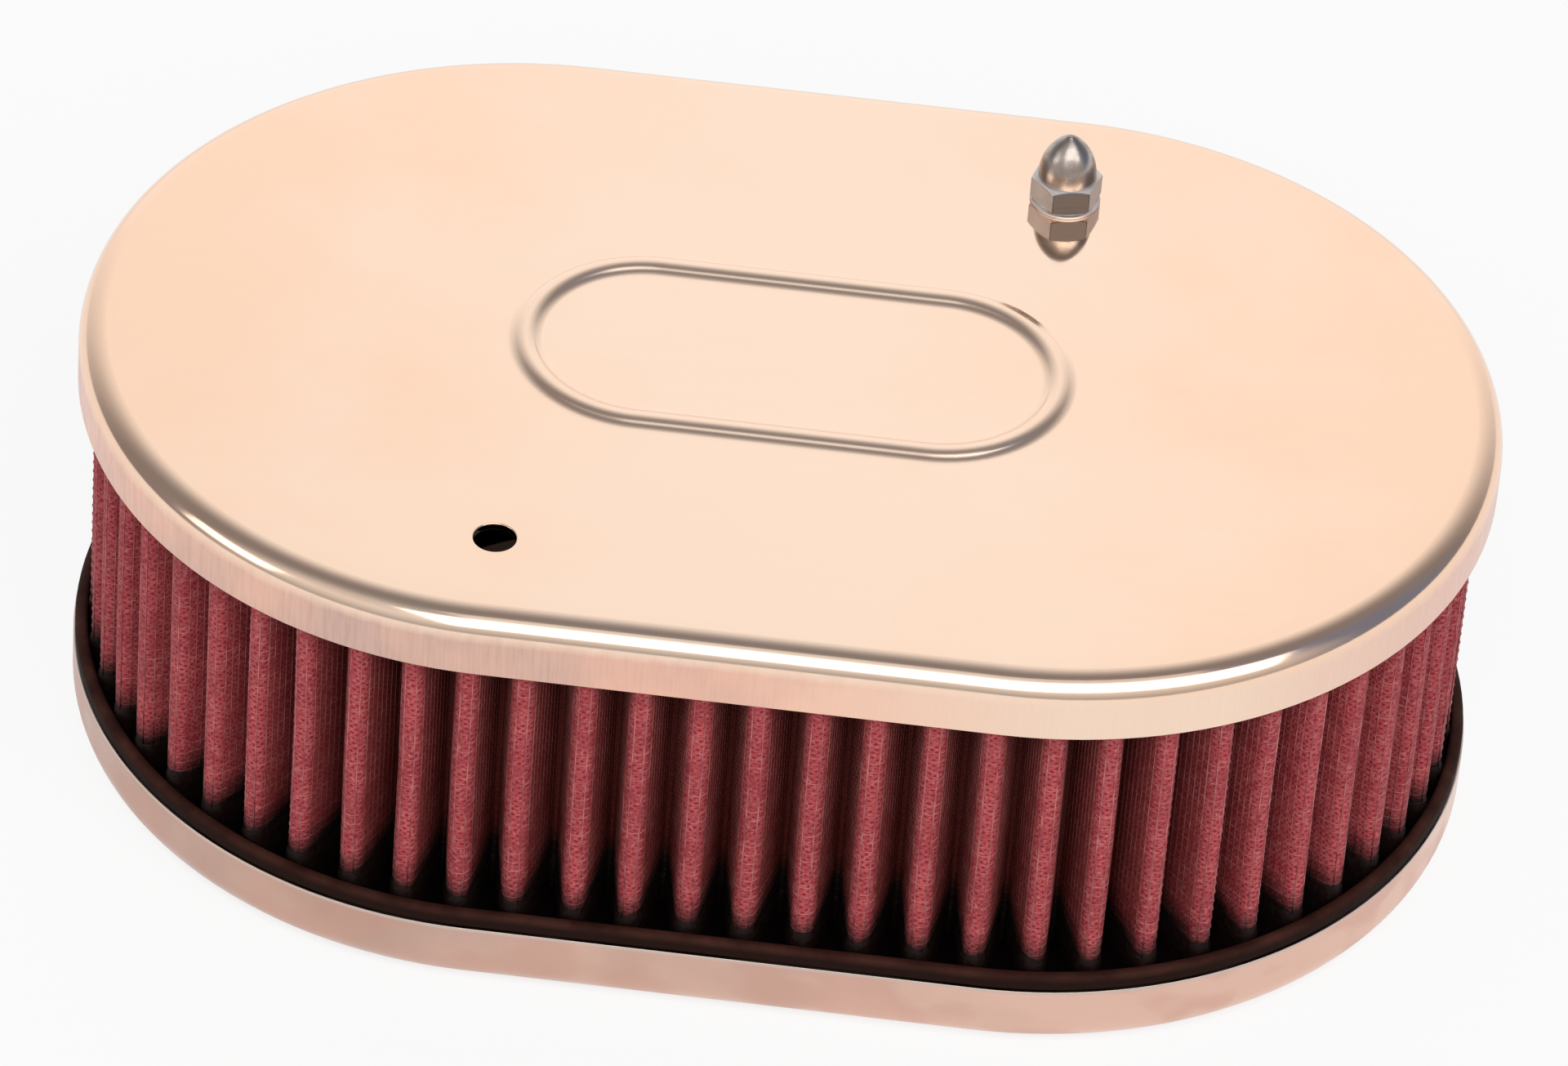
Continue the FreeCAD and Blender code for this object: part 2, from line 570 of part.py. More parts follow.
def make_cap_nut():
    """Acorn nut: chamfered hexagon foot under a pointed dome, with a blind thread."""
    body = new_stud_body("cap_nut", "Sizes.cap_nut_turn")
    hexagon = new_sketch(body, "cap_nut_outline", "Sizes.overall_height")
    add_hexagon(hexagon, "Sizes.nut_flats")
    pad(body, "cap_nut_block", hexagon, "Sizes.cap_hex_height")
    chamfer_hexagon(body, "cap_nut", "Sizes.overall_height", "Places.cap_hex_top_z")

    dome = body.newObject("Sketcher::SketchObject", "dome_profile")
    dome.AttachmentSupport = [(origin_plane(body, "XZ_Plane"), "")]
    dome.MapMode = "FlatFace"
    base = size("cap_base") / 2
    tip = size("cap_tip") / 2
    low = size("cap_hex_top_z")
    root = low - size("dome_root")
    high = size("overall_height") + size("cap_height")
    rise = high - low
    sweep = ((base - tip) ** 2 + rise ** 2) / (2 * (base - tip))
    centre = FreeCAD.Vector(base - sweep, low, 0)
    finish = math.asin(rise / sweep)
    up = FreeCAD.Vector(0, 0, 1)
    dome.addGeometry(Part.LineSegment(FreeCAD.Vector(0, root, 0), FreeCAD.Vector(base, root, 0)), False)
    dome.addGeometry(Part.LineSegment(FreeCAD.Vector(base, root, 0), FreeCAD.Vector(base, low, 0)), False)
    dome.addGeometry(Part.ArcOfCircle(Part.Circle(centre, up, sweep), 0, finish), False)
    dome.addGeometry(Part.LineSegment(FreeCAD.Vector(tip, high, 0), FreeCAD.Vector(0, high, 0)), False)
    dome.addGeometry(Part.LineSegment(FreeCAD.Vector(0, high, 0), FreeCAD.Vector(0, root, 0)), False)
    for one, other in ((0, 1), (2, 3), (3, 4), (4, 0)):
        dome.addConstraint(Sketcher.Constraint("Coincident", one, 2, other, 1))
    dome.addConstraint(Sketcher.Constraint("Tangent", 1, 2, 2, 1))
    dome.addConstraint(Sketcher.Constraint("Horizontal", 0))
    dome.addConstraint(Sketcher.Constraint("Vertical", 1))
    dome.addConstraint(Sketcher.Constraint("Horizontal", 3))
    dome.addConstraint(Sketcher.Constraint("PointOnObject", 0, 1, -2))
    dome.addConstraint(Sketcher.Constraint("PointOnObject", 3, 2, -2))
    for tag, kind, item, point, value, text in (
            ("base_r", "DistanceX", 1, 1, base, "Sizes.cap_base / 2"),
            ("tip_r", "DistanceX", 3, 1, tip, "Sizes.cap_tip / 2"),
            ("base_z", "DistanceY", 1, 2, low, "Places.cap_hex_top_z"),
            ("root_z", "DistanceY", 1, 1, root, "Places.cap_hex_top_z - Sizes.dome_root"),
            ("tip_z", "DistanceY", 3, 1, high, "Sizes.overall_height + Sizes.cap_height")):
        index = dome.addConstraint(Sketcher.Constraint(kind, -1, 1, item, point, value))
        dome.renameConstraint(index, tag)
        dome.setExpression("Constraints." + tag, text)
    turned = body.newObject("PartDesign::Revolution", "dome")
    turned.Profile = dome
    turned.ReferenceAxis = (dome, ["V_Axis"])
    turned.Angle = 360.0
    doc.recompute()

    bore = new_sketch(body, "cap_bore_outline", "Sizes.overall_height")
    add_circle(bore, "bore", "Places.nut_bore")
    pocket(body, "cap_bore", bore, "Sizes.cap_bore_depth", True)
    return body


make_top_cover()
make_base_pan()
make_lower_end_ring()
make_upper_end_ring()
make_pleats()
make_cover_stud()
make_stud_washer()
make_stud_nut()
make_cap_nut()
doc.recompute()

for item in doc.Objects:
    if "Invalid" in item.State or "Error" in item.State:
        raise RuntimeError(item.Label + " has failed: " + str(item.State))
for part in checked:
    if part.Shape.isNull() or not part.Shape.isValid():
        raise RuntimeError(part.Label + " has no valid shape")
    if len(part.Shape.Solids) != 1:
        raise RuntimeError(part.Label + " is not one solid")

os.makedirs("parts", exist_ok=True)
for part in checked:
    part.Shape.exportStep(os.path.join("parts", part.Label + ".step"))
    box = part.Shape.BoundBox
    print(part.Label, "volume", round(part.Shape.Volume, 1), "z", round(box.ZMin, 2), round(box.ZMax, 2),
          "faces", len(part.Shape.Faces))
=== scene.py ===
"""Looks of the oval air cleaner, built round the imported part.

Lengths are in metres, in the part's frame: X along the oval, the front at -Y, Z up.
"""

import math
import random

import bmesh
import bpy
from mathutils import Matrix, Vector, noise


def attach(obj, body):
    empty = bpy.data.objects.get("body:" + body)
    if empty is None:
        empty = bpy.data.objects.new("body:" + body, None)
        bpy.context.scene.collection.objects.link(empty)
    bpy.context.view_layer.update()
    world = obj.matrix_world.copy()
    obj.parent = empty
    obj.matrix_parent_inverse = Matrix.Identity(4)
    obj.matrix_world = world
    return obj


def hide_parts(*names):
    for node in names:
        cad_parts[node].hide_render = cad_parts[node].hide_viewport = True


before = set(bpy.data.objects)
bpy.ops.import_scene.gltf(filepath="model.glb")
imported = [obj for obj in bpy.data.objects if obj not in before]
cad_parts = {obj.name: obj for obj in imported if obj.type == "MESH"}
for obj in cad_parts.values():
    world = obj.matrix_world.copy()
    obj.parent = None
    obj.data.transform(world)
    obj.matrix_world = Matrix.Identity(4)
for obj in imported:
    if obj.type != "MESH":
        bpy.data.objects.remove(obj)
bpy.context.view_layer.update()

MM = 0.001
NEAR = 0.002 * MM

# Oval outline of the cover and the pan: two half rounds and the straights between them.
HALF_SPAN = 31.75 * MM
END_RADIUS = 57.15 * MM
ARC_STEPS = 72

# Pressed sheet.
SHEET = 1.0 * MM
COVER_TOP = 58.8 * MM
SKIRT_FOOT = 50.3 * MM
COVER_BEND = 3.5 * MM
PAN_RIM = 9.2 * MM
PAN_BEND = 4.2 * MM
FLAT_EDGE = 3.0 * MM
CUT_EDGE = 0.16 * MM

# Raised bead on the cover.
BEAD_HALF_SPAN = 18.0 * MM
BEAD_OUTER = 17.0 * MM
BEAD_INNER = 13.8 * MM
BEAD_RISE = 0.8 * MM
BEAD_SLOPE = 0.9 * MM
BEAD_BLEND = 0.55 * MM

# Carburettor opening in the pan and its upturned collar.
OPENING_HALF_SPAN = 24.0 * MM
OPENING_RADIUS = 26.0 * MM
COLLAR_TOP = 5.0 * MM
COLLAR_BEND = 2.0 * MM

# Stud and fixing holes.
LEFT_X = -32.0 * MM
RIGHT_X = 30.8 * MM
FRONT_Y = -41.2 * MM
REAR_Y = 38.5 * MM
HOLE_RADIUS = 2.65 * MM
HEAD_HOLE_RADIUS = 3.95 * MM

# Stud, washer and nuts.
HEX_FLATS = 8.0 * MM
HEX_CHAMFER_RADIUS = 3.8 * MM
CHAMFER_SLOPE = math.tan(math.radians(30))
NUT_BORE = 2.55 * MM
CAP_WASHER_FACE = 0.35 * MM
CAP_WASHER_RADIUS = 4.5 * MM
CAP_HEX_TOP = COVER_TOP + 4.0 * MM
CAP_BORE_TOP = COVER_TOP + 6.6 * MM
CAP_NUT_TURN = math.radians(-16.6)
# The flat of the acorn nut whose tone is painted darker as shade.
SHADED_FLAT = CAP_NUT_TURN - math.radians(60)
DOME_BASE = 3.7 * MM
DOME_TIP = 0.45 * MM
DOME_RISE = 5.9 * MM
WASHER_RADIUS = 4.5 * MM
WASHER_TOP = 2.0 * MM
LOCK_NUT_TOP = 6.0 * MM
THREAD_CORE = 2.05 * MM
THREAD_CREST = 2.48 * MM
THREAD_PITCH = 0.8 * MM
THREAD_TURNS = 78
STUD_HEAD_RADIUS = 3.9 * MM
STUD_NECK = 2.2 * MM
STUD_TOP = 64.8 * MM

# Moulded end rings: how far their walls stand from the oval's centre line, then their heights.
LIP_FACE = END_RADIUS - 0.2 * MM
RING_FACE = END_RADIUS - 1.3 * MM
CHANNEL_FRONT = END_RADIUS - 1.85 * MM
CHANNEL_BACK = END_RADIUS - 11.95 * MM
RING_BACK = END_RADIUS - 13.05 * MM
SEAT = 8.5 * MM
LIP_UNDER = 9.5 * MM
LIP_TOP = 11.4 * MM
UPPER_RING_FOOT = 51.9 * MM
PLEAT_TOP = 53.8 * MM
COVER_INSIDE = COVER_TOP - SHEET

# Pleated element. The cloth is drawn flat first, then folded and led round the oval.
PLEATS = 66
FIRST_CREST = 2.6 * MM
CREST_RADIUS = 54.55 * MM
FOLD_DEPTH = 8.6 * MM
FOLD_RADIUS = 0.95 * MM
CREST_LENGTH = 4 * HALF_SPAN + 2 * math.pi * CREST_RADIUS
PITCH = CREST_LENGTH / PLEATS
FOLD_REACH = math.hypot(PITCH / 4, FOLD_DEPTH / 2 - FOLD_RADIUS)
FOLD_ANGLE = math.atan2(FOLD_DEPTH / 2 - FOLD_RADIUS, PITCH / 4) + math.asin(FOLD_RADIUS / FOLD_REACH)
FOLD_ARC = FOLD_RADIUS * FOLD_ANGLE
FLANK = 2 * math.sqrt(FOLD_REACH ** 2 - FOLD_RADIUS ** 2)
PLEAT_CLOTH = 4 * FOLD_ARC + 2 * FLANK
CREST_WANDER = 0.3 * MM
VALLEY_WANDER = 0.35 * MM
CREST_BOW = 0.2 * MM
GAUZE_HALF = 0.45 * MM

# Woven wire on both sides of the gauze. The real wire is finer, and is drawn as coarse as it needs to be
# to show.
WIRE_RADIUS = 0.09 * MM
WEFT_LIFT = 0.47 * MM
WARP_LIFT = 0.48 * MM
WEFT_SPACING = 1.41 * MM
WEFT_FOOT = 11.9 * MM
WEFT_COUNT = 29
WARPS_PER_PLEAT = 20
WIRE_DRIFT = 0.16 * MM

# Urethane drawn up the pleats from the ring.
FOOT_TOP = 12.5 * MM
FOOT_HALF = 0.72 * MM
FOOT_UNEVEN = 0.8 * MM

wander = random.Random(66)
crest_shift = [wander.uniform(-CREST_WANDER, CREST_WANDER) for _ in range(PLEATS)]
valley_shift = [wander.uniform(-VALLEY_WANDER, VALLEY_WANDER) for _ in range(PLEATS)]
crest_bow = [wander.uniform(-CREST_BOW, CREST_BOW) for _ in range(PLEATS)]


def colour(text):
    """An sRGB hex colour as linear RGBA."""
    channels = [int(text[place:place + 2], 16) / 255 for place in (1, 3, 5)]
    linear = [c / 12.92 if c <= 0.04045 else ((c + 0.055) / 1.055) ** 2.4 for c in channels]
    return (*linear, 1.0)


def add(tree, kind, inputs=None, ramp=None, out=0, **settings):
    """Adds a node with its settings and gives one of its outputs. An input given as a socket is linked, and
    any other is a value."""
    node = tree.nodes.new(kind)
    for name, value in settings.items():
        setattr(node, name, value)
    for name, value in (inputs or {}).items():
        if isinstance(value, bpy.types.NodeSocket):
            tree.links.new(value, node.inputs[name])
        else:
            node.inputs[name].default_value = value
    if ramp:
        stops = node.color_ramp.elements
        while len(stops) < len(ramp):
            stops.new(1.0)
        for stop, (place, shade) in zip(stops, ramp):
            stop.position = place
            stop.color = shade
    return node.outputs[out] if len(node.outputs) else None


def new_material(name):
    """An empty material and its node tree."""
    material = bpy.data.materials.new(name)
    material.use_nodes = True
    material.node_tree.nodes.clear()
    return material, material.node_tree


def make_polished_steel():
    """Pressed steel, plated and buffed on top: a warm mirror with faint buffing haze. The skirt was left
    satin, with upright scratches, drawn coarse enough to show, and has a duller, greyer stretch at the front
    left."""
    material, tree = new_material("buffed_steel")
    place = add(tree, "ShaderNodeTexCoord", out="Object")
    height = add(tree, "ShaderNodeSeparateXYZ", {0: place}, out="Z")
    across = add(tree, "ShaderNodeSeparateXYZ", {0: place}, out="X")
    ragged = add(tree, "ShaderNodeTexNoise", {"Vector": place, "Scale": 1 / (2 * MM), "Detail": 3.0})
    edge = add(tree, "ShaderNodeMath", {0: ragged, 1: 0.9 * MM, 2: height}, operation="MULTIPLY_ADD")
    buffed = add(tree, "ShaderNodeMapRange", {0: edge, 1: COVER_TOP - 3.2 * MM, 2: COVER_TOP - 1.8 * MM})

    haze = add(tree, "ShaderNodeTexNoise", {"Vector": place, "Scale": 1 / (22 * MM), "Detail": 4.0})
    aside = add(tree, "ShaderNodeMath", {0: across}, operation="ABSOLUTE")
    warmer = add(tree, "ShaderNodeMath", {0: aside, 1: 9.0, 2: haze}, operation="MULTIPLY_ADD")
    warmer = add(tree, "ShaderNodeMapRange", {0: warmer, 1: 0.65, 2: 1.2})
    top = add(tree, "ShaderNodeMix", {0: warmer, 6: colour("#FFE2CB"), 7: colour("#FFDABF")}, out=2,
              data_type="RGBA")
    smear = add(tree, "ShaderNodeMapping", {"Vector": place, "Scale": (1.0, 9.0, 1.0)})
    wipes = add(tree, "ShaderNodeTexNoise", {"Vector": smear, "Scale": 1 / (14 * MM), "Detail": 5.0})
    wipes = add(tree, "ShaderNodeMapRange", {0: wipes, 1: 0.35, 2: 0.7, 3: 0.045, 4: 0.1})
    bent = add(tree, "ShaderNodeMapRange", {0: height, 1: COVER_TOP - 0.1 * MM, 2: COVER_TOP - 0.6 * MM})
    shine = add(tree, "ShaderNodeMix", {0: bent, 2: wipes, 3: 0.13})
    raised = add(tree, "ShaderNodeMapRange", {0: height, 1: COVER_TOP, 2: COVER_TOP + 0.04 * MM})
    shine = add(tree, "ShaderNodeMix", {0: raised, 2: shine, 3: 0.2})

    upright = add(tree, "ShaderNodeMapping", {"Vector": place, "Scale": (1.0, 1.0, 0.07)})
    scratches = add(tree, "ShaderNodeTexNoise", {"Vector": upright, "Scale": 1 / (0.45 * MM), "Detail": 4.0})
    scratches = add(tree, "ShaderNodeMapRange", {0: scratches, 1: 0.4, 2: 0.7})
    patches = add(tree, "ShaderNodeTexNoise", {"Vector": place, "Scale": 1 / (11 * MM), "Detail": 3.0})
    skirt = add(tree, "ShaderNodeMapRange", {0: across, 1: -5 * MM, 2: 85 * MM})
    skirt = add(tree, "ShaderNodeValToRGB", {0: skirt}, ramp=[
        (0.0, colour("#FFC9B1")), (0.5, colour("#FFE2CB")), (0.7, colour("#FFE2CB")),
        (1.0, colour("#EFC6B6"))])
    off_spot = add(tree, "ShaderNodeMath", {0: across, 1: 46 * MM}, operation="ADD")
    off_spot = add(tree, "ShaderNodeMath", {0: off_spot}, operation="ABSOLUTE")
    dulled = add(tree, "ShaderNodeMath", {0: off_spot, 1: -9.0, 2: patches}, operation="MULTIPLY_ADD")
    dulled = add(tree, "ShaderNodeMapRange", {0: dulled, 1: -0.05, 2: 0.55})
    skirt = add(tree, "ShaderNodeMix", {0: dulled, 6: skirt, 7: colour("#DCB9AB")}, out=2, data_type="RGBA")
    marked = add(tree, "ShaderNodeMath", {0: scratches, 1: dulled}, operation="MULTIPLY")
    marked = add(tree, "ShaderNodeMath", {0: marked, 1: 0.3}, operation="MULTIPLY")
    skirt = add(tree, "ShaderNodeMix", {0: marked, 6: skirt, 7: colour("#B99484")}, out=2, data_type="RGBA")
    satin = add(tree, "ShaderNodeMapRange", {0: scratches, 3: 0.24, 4: 0.36})

    tone = add(tree, "ShaderNodeMix", {0: buffed, 6: skirt, 7: top}, out=2, data_type="RGBA")
    rough = add(tree, "ShaderNodeMix", {0: buffed, 2: satin, 3: shine})
    depth = add(tree, "ShaderNodeMapRange", {0: buffed, 3: 0.35, 4: 0.008})
    bump = add(tree, "ShaderNodeBump", {"Height": scratches, "Distance": 0.006 * MM, "Strength": depth})
    surface = add(tree, "ShaderNodeBsdfPrincipled", {
        "Base Color": tone, "Metallic": 1.0, "Roughness": rough, "Normal": bump})
    add(tree, "ShaderNodeOutputMaterial", {"Surface": surface})
    return material


def make_satin_steel():
    """Pressed steel, tumbled satin and plated: soft highlights, a grain drawn coarse enough to show, a tone
    greyer towards the left in cloudy patches, rubbed patches of a second tone, and a painted highlight along
    the upper edge."""
    material, tree = new_material("satin_steel")
    place = add(tree, "ShaderNodeTexCoord", out="Object")
    across = add(tree, "ShaderNodeSeparateXYZ", {0: place}, out="X")
    height = add(tree, "ShaderNodeSeparateXYZ", {0: place}, out="Z")
    grain = add(tree, "ShaderNodeTexNoise", {"Vector": place, "Scale": 1 / (0.5 * MM), "Detail": 3.0})
    cloud = add(tree, "ShaderNodeTexNoise", {"Vector": place, "Scale": 1 / (15 * MM), "Detail": 4.0})
    # Greyer towards the left, with cloudy edges.
    dulled = add(tree, "ShaderNodeMath", {0: across, 1: -8.0, 2: cloud}, operation="MULTIPLY_ADD")
    dulled = add(tree, "ShaderNodeMapRange", {0: dulled, 1: 0.15, 2: 1.0})
    tone = add(tree, "ShaderNodeMix", {0: dulled, 6: colour("#EAC2B0"), 7: colour("#C6A596")}, out=2,
               data_type="RGBA")
    drawn = add(tree, "ShaderNodeMapping", {"Vector": place, "Scale": (1.0, 1.0, 1.7)})
    patches = add(tree, "ShaderNodeTexNoise", {"Vector": drawn, "Scale": 1 / (10 * MM), "Detail": 1.5})
    rubbed = add(tree, "ShaderNodeMapRange", {0: patches, 1: 0.45, 2: 0.57, 4: 0.34})
    tone = add(tree, "ShaderNodeMix", {0: rubbed, 6: tone, 7: colour("#D3A291")}, out=2, data_type="RGBA")
    # Painted highlight: a lighter band along the rim's upper edge.
    lip = add(tree, "ShaderNodeMapRange", {0: height, 1: PAN_RIM - 0.55 * MM, 2: PAN_RIM - 0.25 * MM})
    tone = add(tree, "ShaderNodeMix", {0: lip, 6: tone, 7: colour("#D6C2B6")}, out=2, data_type="RGBA")
    rough = add(tree, "ShaderNodeMapRange", {0: patches, 1: 0.4, 2: 0.6, 3: 0.22, 4: 0.34})
    bump = add(tree, "ShaderNodeBump", {"Height": grain, "Distance": 0.01 * MM, "Strength": 0.3})
    surface = add(tree, "ShaderNodeBsdfPrincipled", {
        "Base Color": tone, "Metallic": 1.0, "Roughness": rough, "Normal": bump})
    add(tree, "ShaderNodeOutputMaterial", {"Surface": surface})
    return material


def make_urethane():
    """Cast urethane: dark brown and rubbery; painted shade makes it near black low in the trough, and a
    mottled painted sheen of the warm rim makes it browner on the lip top.
    """
    material, tree = new_material("cast_urethane")
    place = add(tree, "ShaderNodeTexCoord", out="Object")
    height = add(tree, "ShaderNodeSeparateXYZ", {0: place}, out="Z")
    skin = add(tree, "ShaderNodeTexNoise", {"Vector": place, "Scale": 1 / (1.6 * MM), "Detail": 3.0})
    # Painted sheen: the lip top is browner, as the warm rim reflected there, mottled by this noise.
    lip_sheen_mottle = add(tree, "ShaderNodeTexNoise", {"Vector": place, "Scale": 1 / (5 * MM), "Detail": 5.0})
    lip_sheen_mottle = add(tree, "ShaderNodeMapRange", {0: lip_sheen_mottle, 1: 0.35, 2: 0.7})
    painted_lip_sheen = add(tree, "ShaderNodeMapRange", {0: height, 1: 10.5 * MM, 2: 11.3 * MM})
    brown = add(tree, "ShaderNodeMix", {0: lip_sheen_mottle, 6: colour("#331B16"), 7: colour("#4E2E26")}, out=2,
                data_type="RGBA")
    # Painted shade: near black low in the channel, lighter above it.
    painted_trough_shade = add(tree, "ShaderNodeMapRange", {0: height, 1: 8.7 * MM, 2: 9.6 * MM})
    dark = add(tree, "ShaderNodeMix", {0: painted_trough_shade, 6: colour("#0C0605"), 7: colour("#24130E")}, out=2,
               data_type="RGBA")
    tone = add(tree, "ShaderNodeMix", {0: painted_lip_sheen, 6: dark, 7: brown}, out=2, data_type="RGBA")
    rough = add(tree, "ShaderNodeMapRange", {0: skin, 3: 0.5, 4: 0.75})
    bump = add(tree, "ShaderNodeBump", {"Height": skin, "Distance": 0.12 * MM, "Strength": 0.5})
    surface = add(tree, "ShaderNodeBsdfPrincipled", {
        "Base Color": tone, "Roughness": rough, "Specular IOR Level": 0.06, "Normal": bump})
    add(tree, "ShaderNodeOutputMaterial", {"Surface": surface})
    return material


def make_wicked_urethane():
    """The same urethane where it has wicked up the pleats: oily black, with small glints."""
    material, tree = new_material("wicked_urethane")
    place = add(tree, "ShaderNodeTexCoord", out="Object")
    lumps = add(tree, "ShaderNodeTexNoise", {"Vector": place, "Scale": 1 / (0.9 * MM), "Detail": 4.0})
    rough = add(tree, "ShaderNodeMapRange", {0: lumps, 1: 0.35, 2: 0.65, 3: 0.3, 4: 0.75})
    bump = add(tree, "ShaderNodeBump", {"Height": lumps, "Distance": 0.3 * MM, "Strength": 0.7})
    surface = add(tree, "ShaderNodeBsdfPrincipled", {
        "Base Color": colour("#1A0E0B"), "Roughness": rough, "Specular IOR Level": 0.15, "Normal": bump})
    add(tree, "ShaderNodeOutputMaterial", {"Surface": surface})
    return material


def paint_fold_shade_and_foot(tree, tone, brown, cloth, place):
    """Paints shade into a tone down in the fold, sooner along the straight sides, where the folds are closed
    and lie in each other's shade, and near black at the foot, where urethane has wicked up and the painted
    shade reaches higher down in the folds."""
    along = add(tree, "ShaderNodeSeparateXYZ", {0: cloth}, out="X")
    away = add(tree, "ShaderNodeMath", {0: along, 1: PLEAT_CLOTH / 2}, operation="PINGPONG")
    share = add(tree, "ShaderNodeMath", {0: away, 1: 2 / PLEAT_CLOTH}, operation="MULTIPLY")
    # Painted shade: how dark each place is, by its distance down the fold from the crest.
    closed = add(tree, "ShaderNodeValToRGB", {0: share}, ramp=[
        (place_mm * MM * 2 / PLEAT_CLOTH, (fold_shade, fold_shade, fold_shade, 1.0)) for place_mm, fold_shade in
        ((0.0, 0.0), (0.5, 0.04), (1.0, 0.22), (1.6, 0.56), (2.4, 0.8), (6.5, 1.0))])
    opened = add(tree, "ShaderNodeValToRGB", {0: share}, ramp=[
        (place_mm * MM * 2 / PLEAT_CLOTH, (fold_shade, fold_shade, fold_shade, 1.0)) for place_mm, fold_shade in
        ((0.0, 0.0), (1.4, 0.05), (2.8, 0.2), (4.8, 0.38), (6.8, 0.7), (9.0, 1.0))])
    aside = add(tree, "ShaderNodeSeparateXYZ", {0: place}, out="Y")
    aside = add(tree, "ShaderNodeMath", {0: aside}, operation="ABSOLUTE")
    ends = add(tree, "ShaderNodeMapRange", {0: aside, 1: 54.0 * MM, 2: 40.0 * MM})
    fold_shade = add(tree, "ShaderNodeMix", {0: ends, 6: closed, 7: opened}, out=2, data_type="RGBA")
    height = add(tree, "ShaderNodeSeparateXYZ", {0: place}, out="Z")
    uneven = add(tree, "ShaderNodeTexNoise", {"Vector": place, "Scale": 1 / (2.5 * MM), "Detail": 3.0})
    edge = add(tree, "ShaderNodeMath", {0: uneven, 1: 2.4 * MM, 2: height}, operation="MULTIPLY_ADD")
    climb = add(tree, "ShaderNodeMath", {0: away, 1: -0.3, 2: edge}, operation="MULTIPLY_ADD")
    # Near black at the foot: the wicked urethane, with painted shade that reaches higher down in the folds.
    foot = add(tree, "ShaderNodeMapRange", {0: climb, 1: 17.4 * MM, 2: 13.2 * MM})
    tone = add(tree, "ShaderNodeMix", {0: fold_shade, 6: tone, 7: brown}, out=2, data_type="RGBA")
    return add(tree, "ShaderNodeMix", {0: foot, 6: tone, 7: colour("#1C0F0C")}, out=2, data_type="RGBA")


def make_oiled_gauze():
    """Layered cotton gauze soaked in red filter oil: a loose slanting weave, with painted shade that makes it
    near black down in the folds.
    """
    material, tree = new_material("oiled_cotton_gauze")
    cloth = add(tree, "ShaderNodeUVMap", uv_map="cloth")
    place = add(tree, "ShaderNodeTexCoord", out="Object")
    threads = []
    for turn in (38.0, -52.0):
        turned = add(tree, "ShaderNodeMapping", {"Vector": cloth, "Rotation": (0, 0, math.radians(turn))})
        threads.append(add(tree, "ShaderNodeTexWave", {
            "Vector": turned, "Scale": 0.32 / (0.62 * MM), "Distortion": 1.6, "Detail": 2.0,
            "Detail Scale": 1.2}, out="Fac"))
    weave = add(tree, "ShaderNodeMath", {0: threads[0], 1: threads[1]}, operation="MAXIMUM")
    woven = add(tree, "ShaderNodeMapRange", {0: weave, 1: 0.3, 2: 0.9})
    oil = add(tree, "ShaderNodeTexNoise", {"Vector": place, "Scale": 1 / (7 * MM), "Detail": 4.0})
    oil = add(tree, "ShaderNodeMapRange", {0: oil, 1: 0.35, 2: 0.65})
    lint = add(tree, "ShaderNodeTexNoise", {"Vector": place, "Scale": 1 / (0.5 * MM), "Detail": 3.0})
    lint = add(tree, "ShaderNodeMapRange", {0: lint, 1: 0.5, 2: 0.75, 4: 0.6})
    soaked = add(tree, "ShaderNodeMix", {0: oil, 6: colour("#A83E45"), 7: colour("#C45257")}, out=2,
                 data_type="RGBA")
    tone = add(tree, "ShaderNodeMix", {0: woven, 6: colour("#8A2831"), 7: soaked}, out=2, data_type="RGBA")
    tone = add(tree, "ShaderNodeMix", {0: lint, 6: tone, 7: colour("#DE8E8B")}, out=2, data_type="RGBA")
    # Painted shade down the folds, in a dark brown.
    tone = paint_fold_shade_and_foot(tree, tone, colour("#5E1D16"), cloth, place)
    rough = add(tree, "ShaderNodeMapRange", {0: oil, 3: 0.55, 4: 0.75})
    bump = add(tree, "ShaderNodeBump", {"Height": weave, "Distance": 0.1 * MM, "Strength": 0.5})
    surface = add(tree, "ShaderNodeBsdfPrincipled", {
        "Base Color": tone, "Roughness": rough, "Specular IOR Level": 0.2, "Normal": bump})
    add(tree, "ShaderNodeOutputMaterial", {"Surface": surface})
    return material


def make_coated_wire():
    """Aluminium screen wire under an epoxy coat, red with the oil it carries, and painted shade makes it
    brown down in the folds.
    """
    material, tree = new_material("coated_aluminium_wire")
    cloth = add(tree, "ShaderNodeUVMap", uv_map="cloth")
    place = add(tree, "ShaderNodeTexCoord", out="Object")
    film = add(tree, "ShaderNodeTexNoise", {"Vector": place, "Scale": 1 / (2 * MM), "Detail": 4.0})
    film = add(tree, "ShaderNodeMapRange", {0: film, 1: 0.35, 2: 0.65})
    tone = add(tree, "ShaderNodeMix", {0: film, 6: colour("#A4424B"), 7: colour("#D08280")}, out=2,
               data_type="RGBA")
    # Painted shade down the folds, in a brown.
    tone = paint_fold_shade_and_foot(tree, tone, colour("#682A22"), cloth, place)
    rough = add(tree, "ShaderNodeMapRange", {0: film, 3: 0.4, 4: 0.6})
    surface = add(tree, "ShaderNodeBsdfPrincipled", {"Base Color": tone, "Metallic": 0.1, "Roughness": rough})
    add(tree, "ShaderNodeOutputMaterial", {"Surface": surface})
    return material


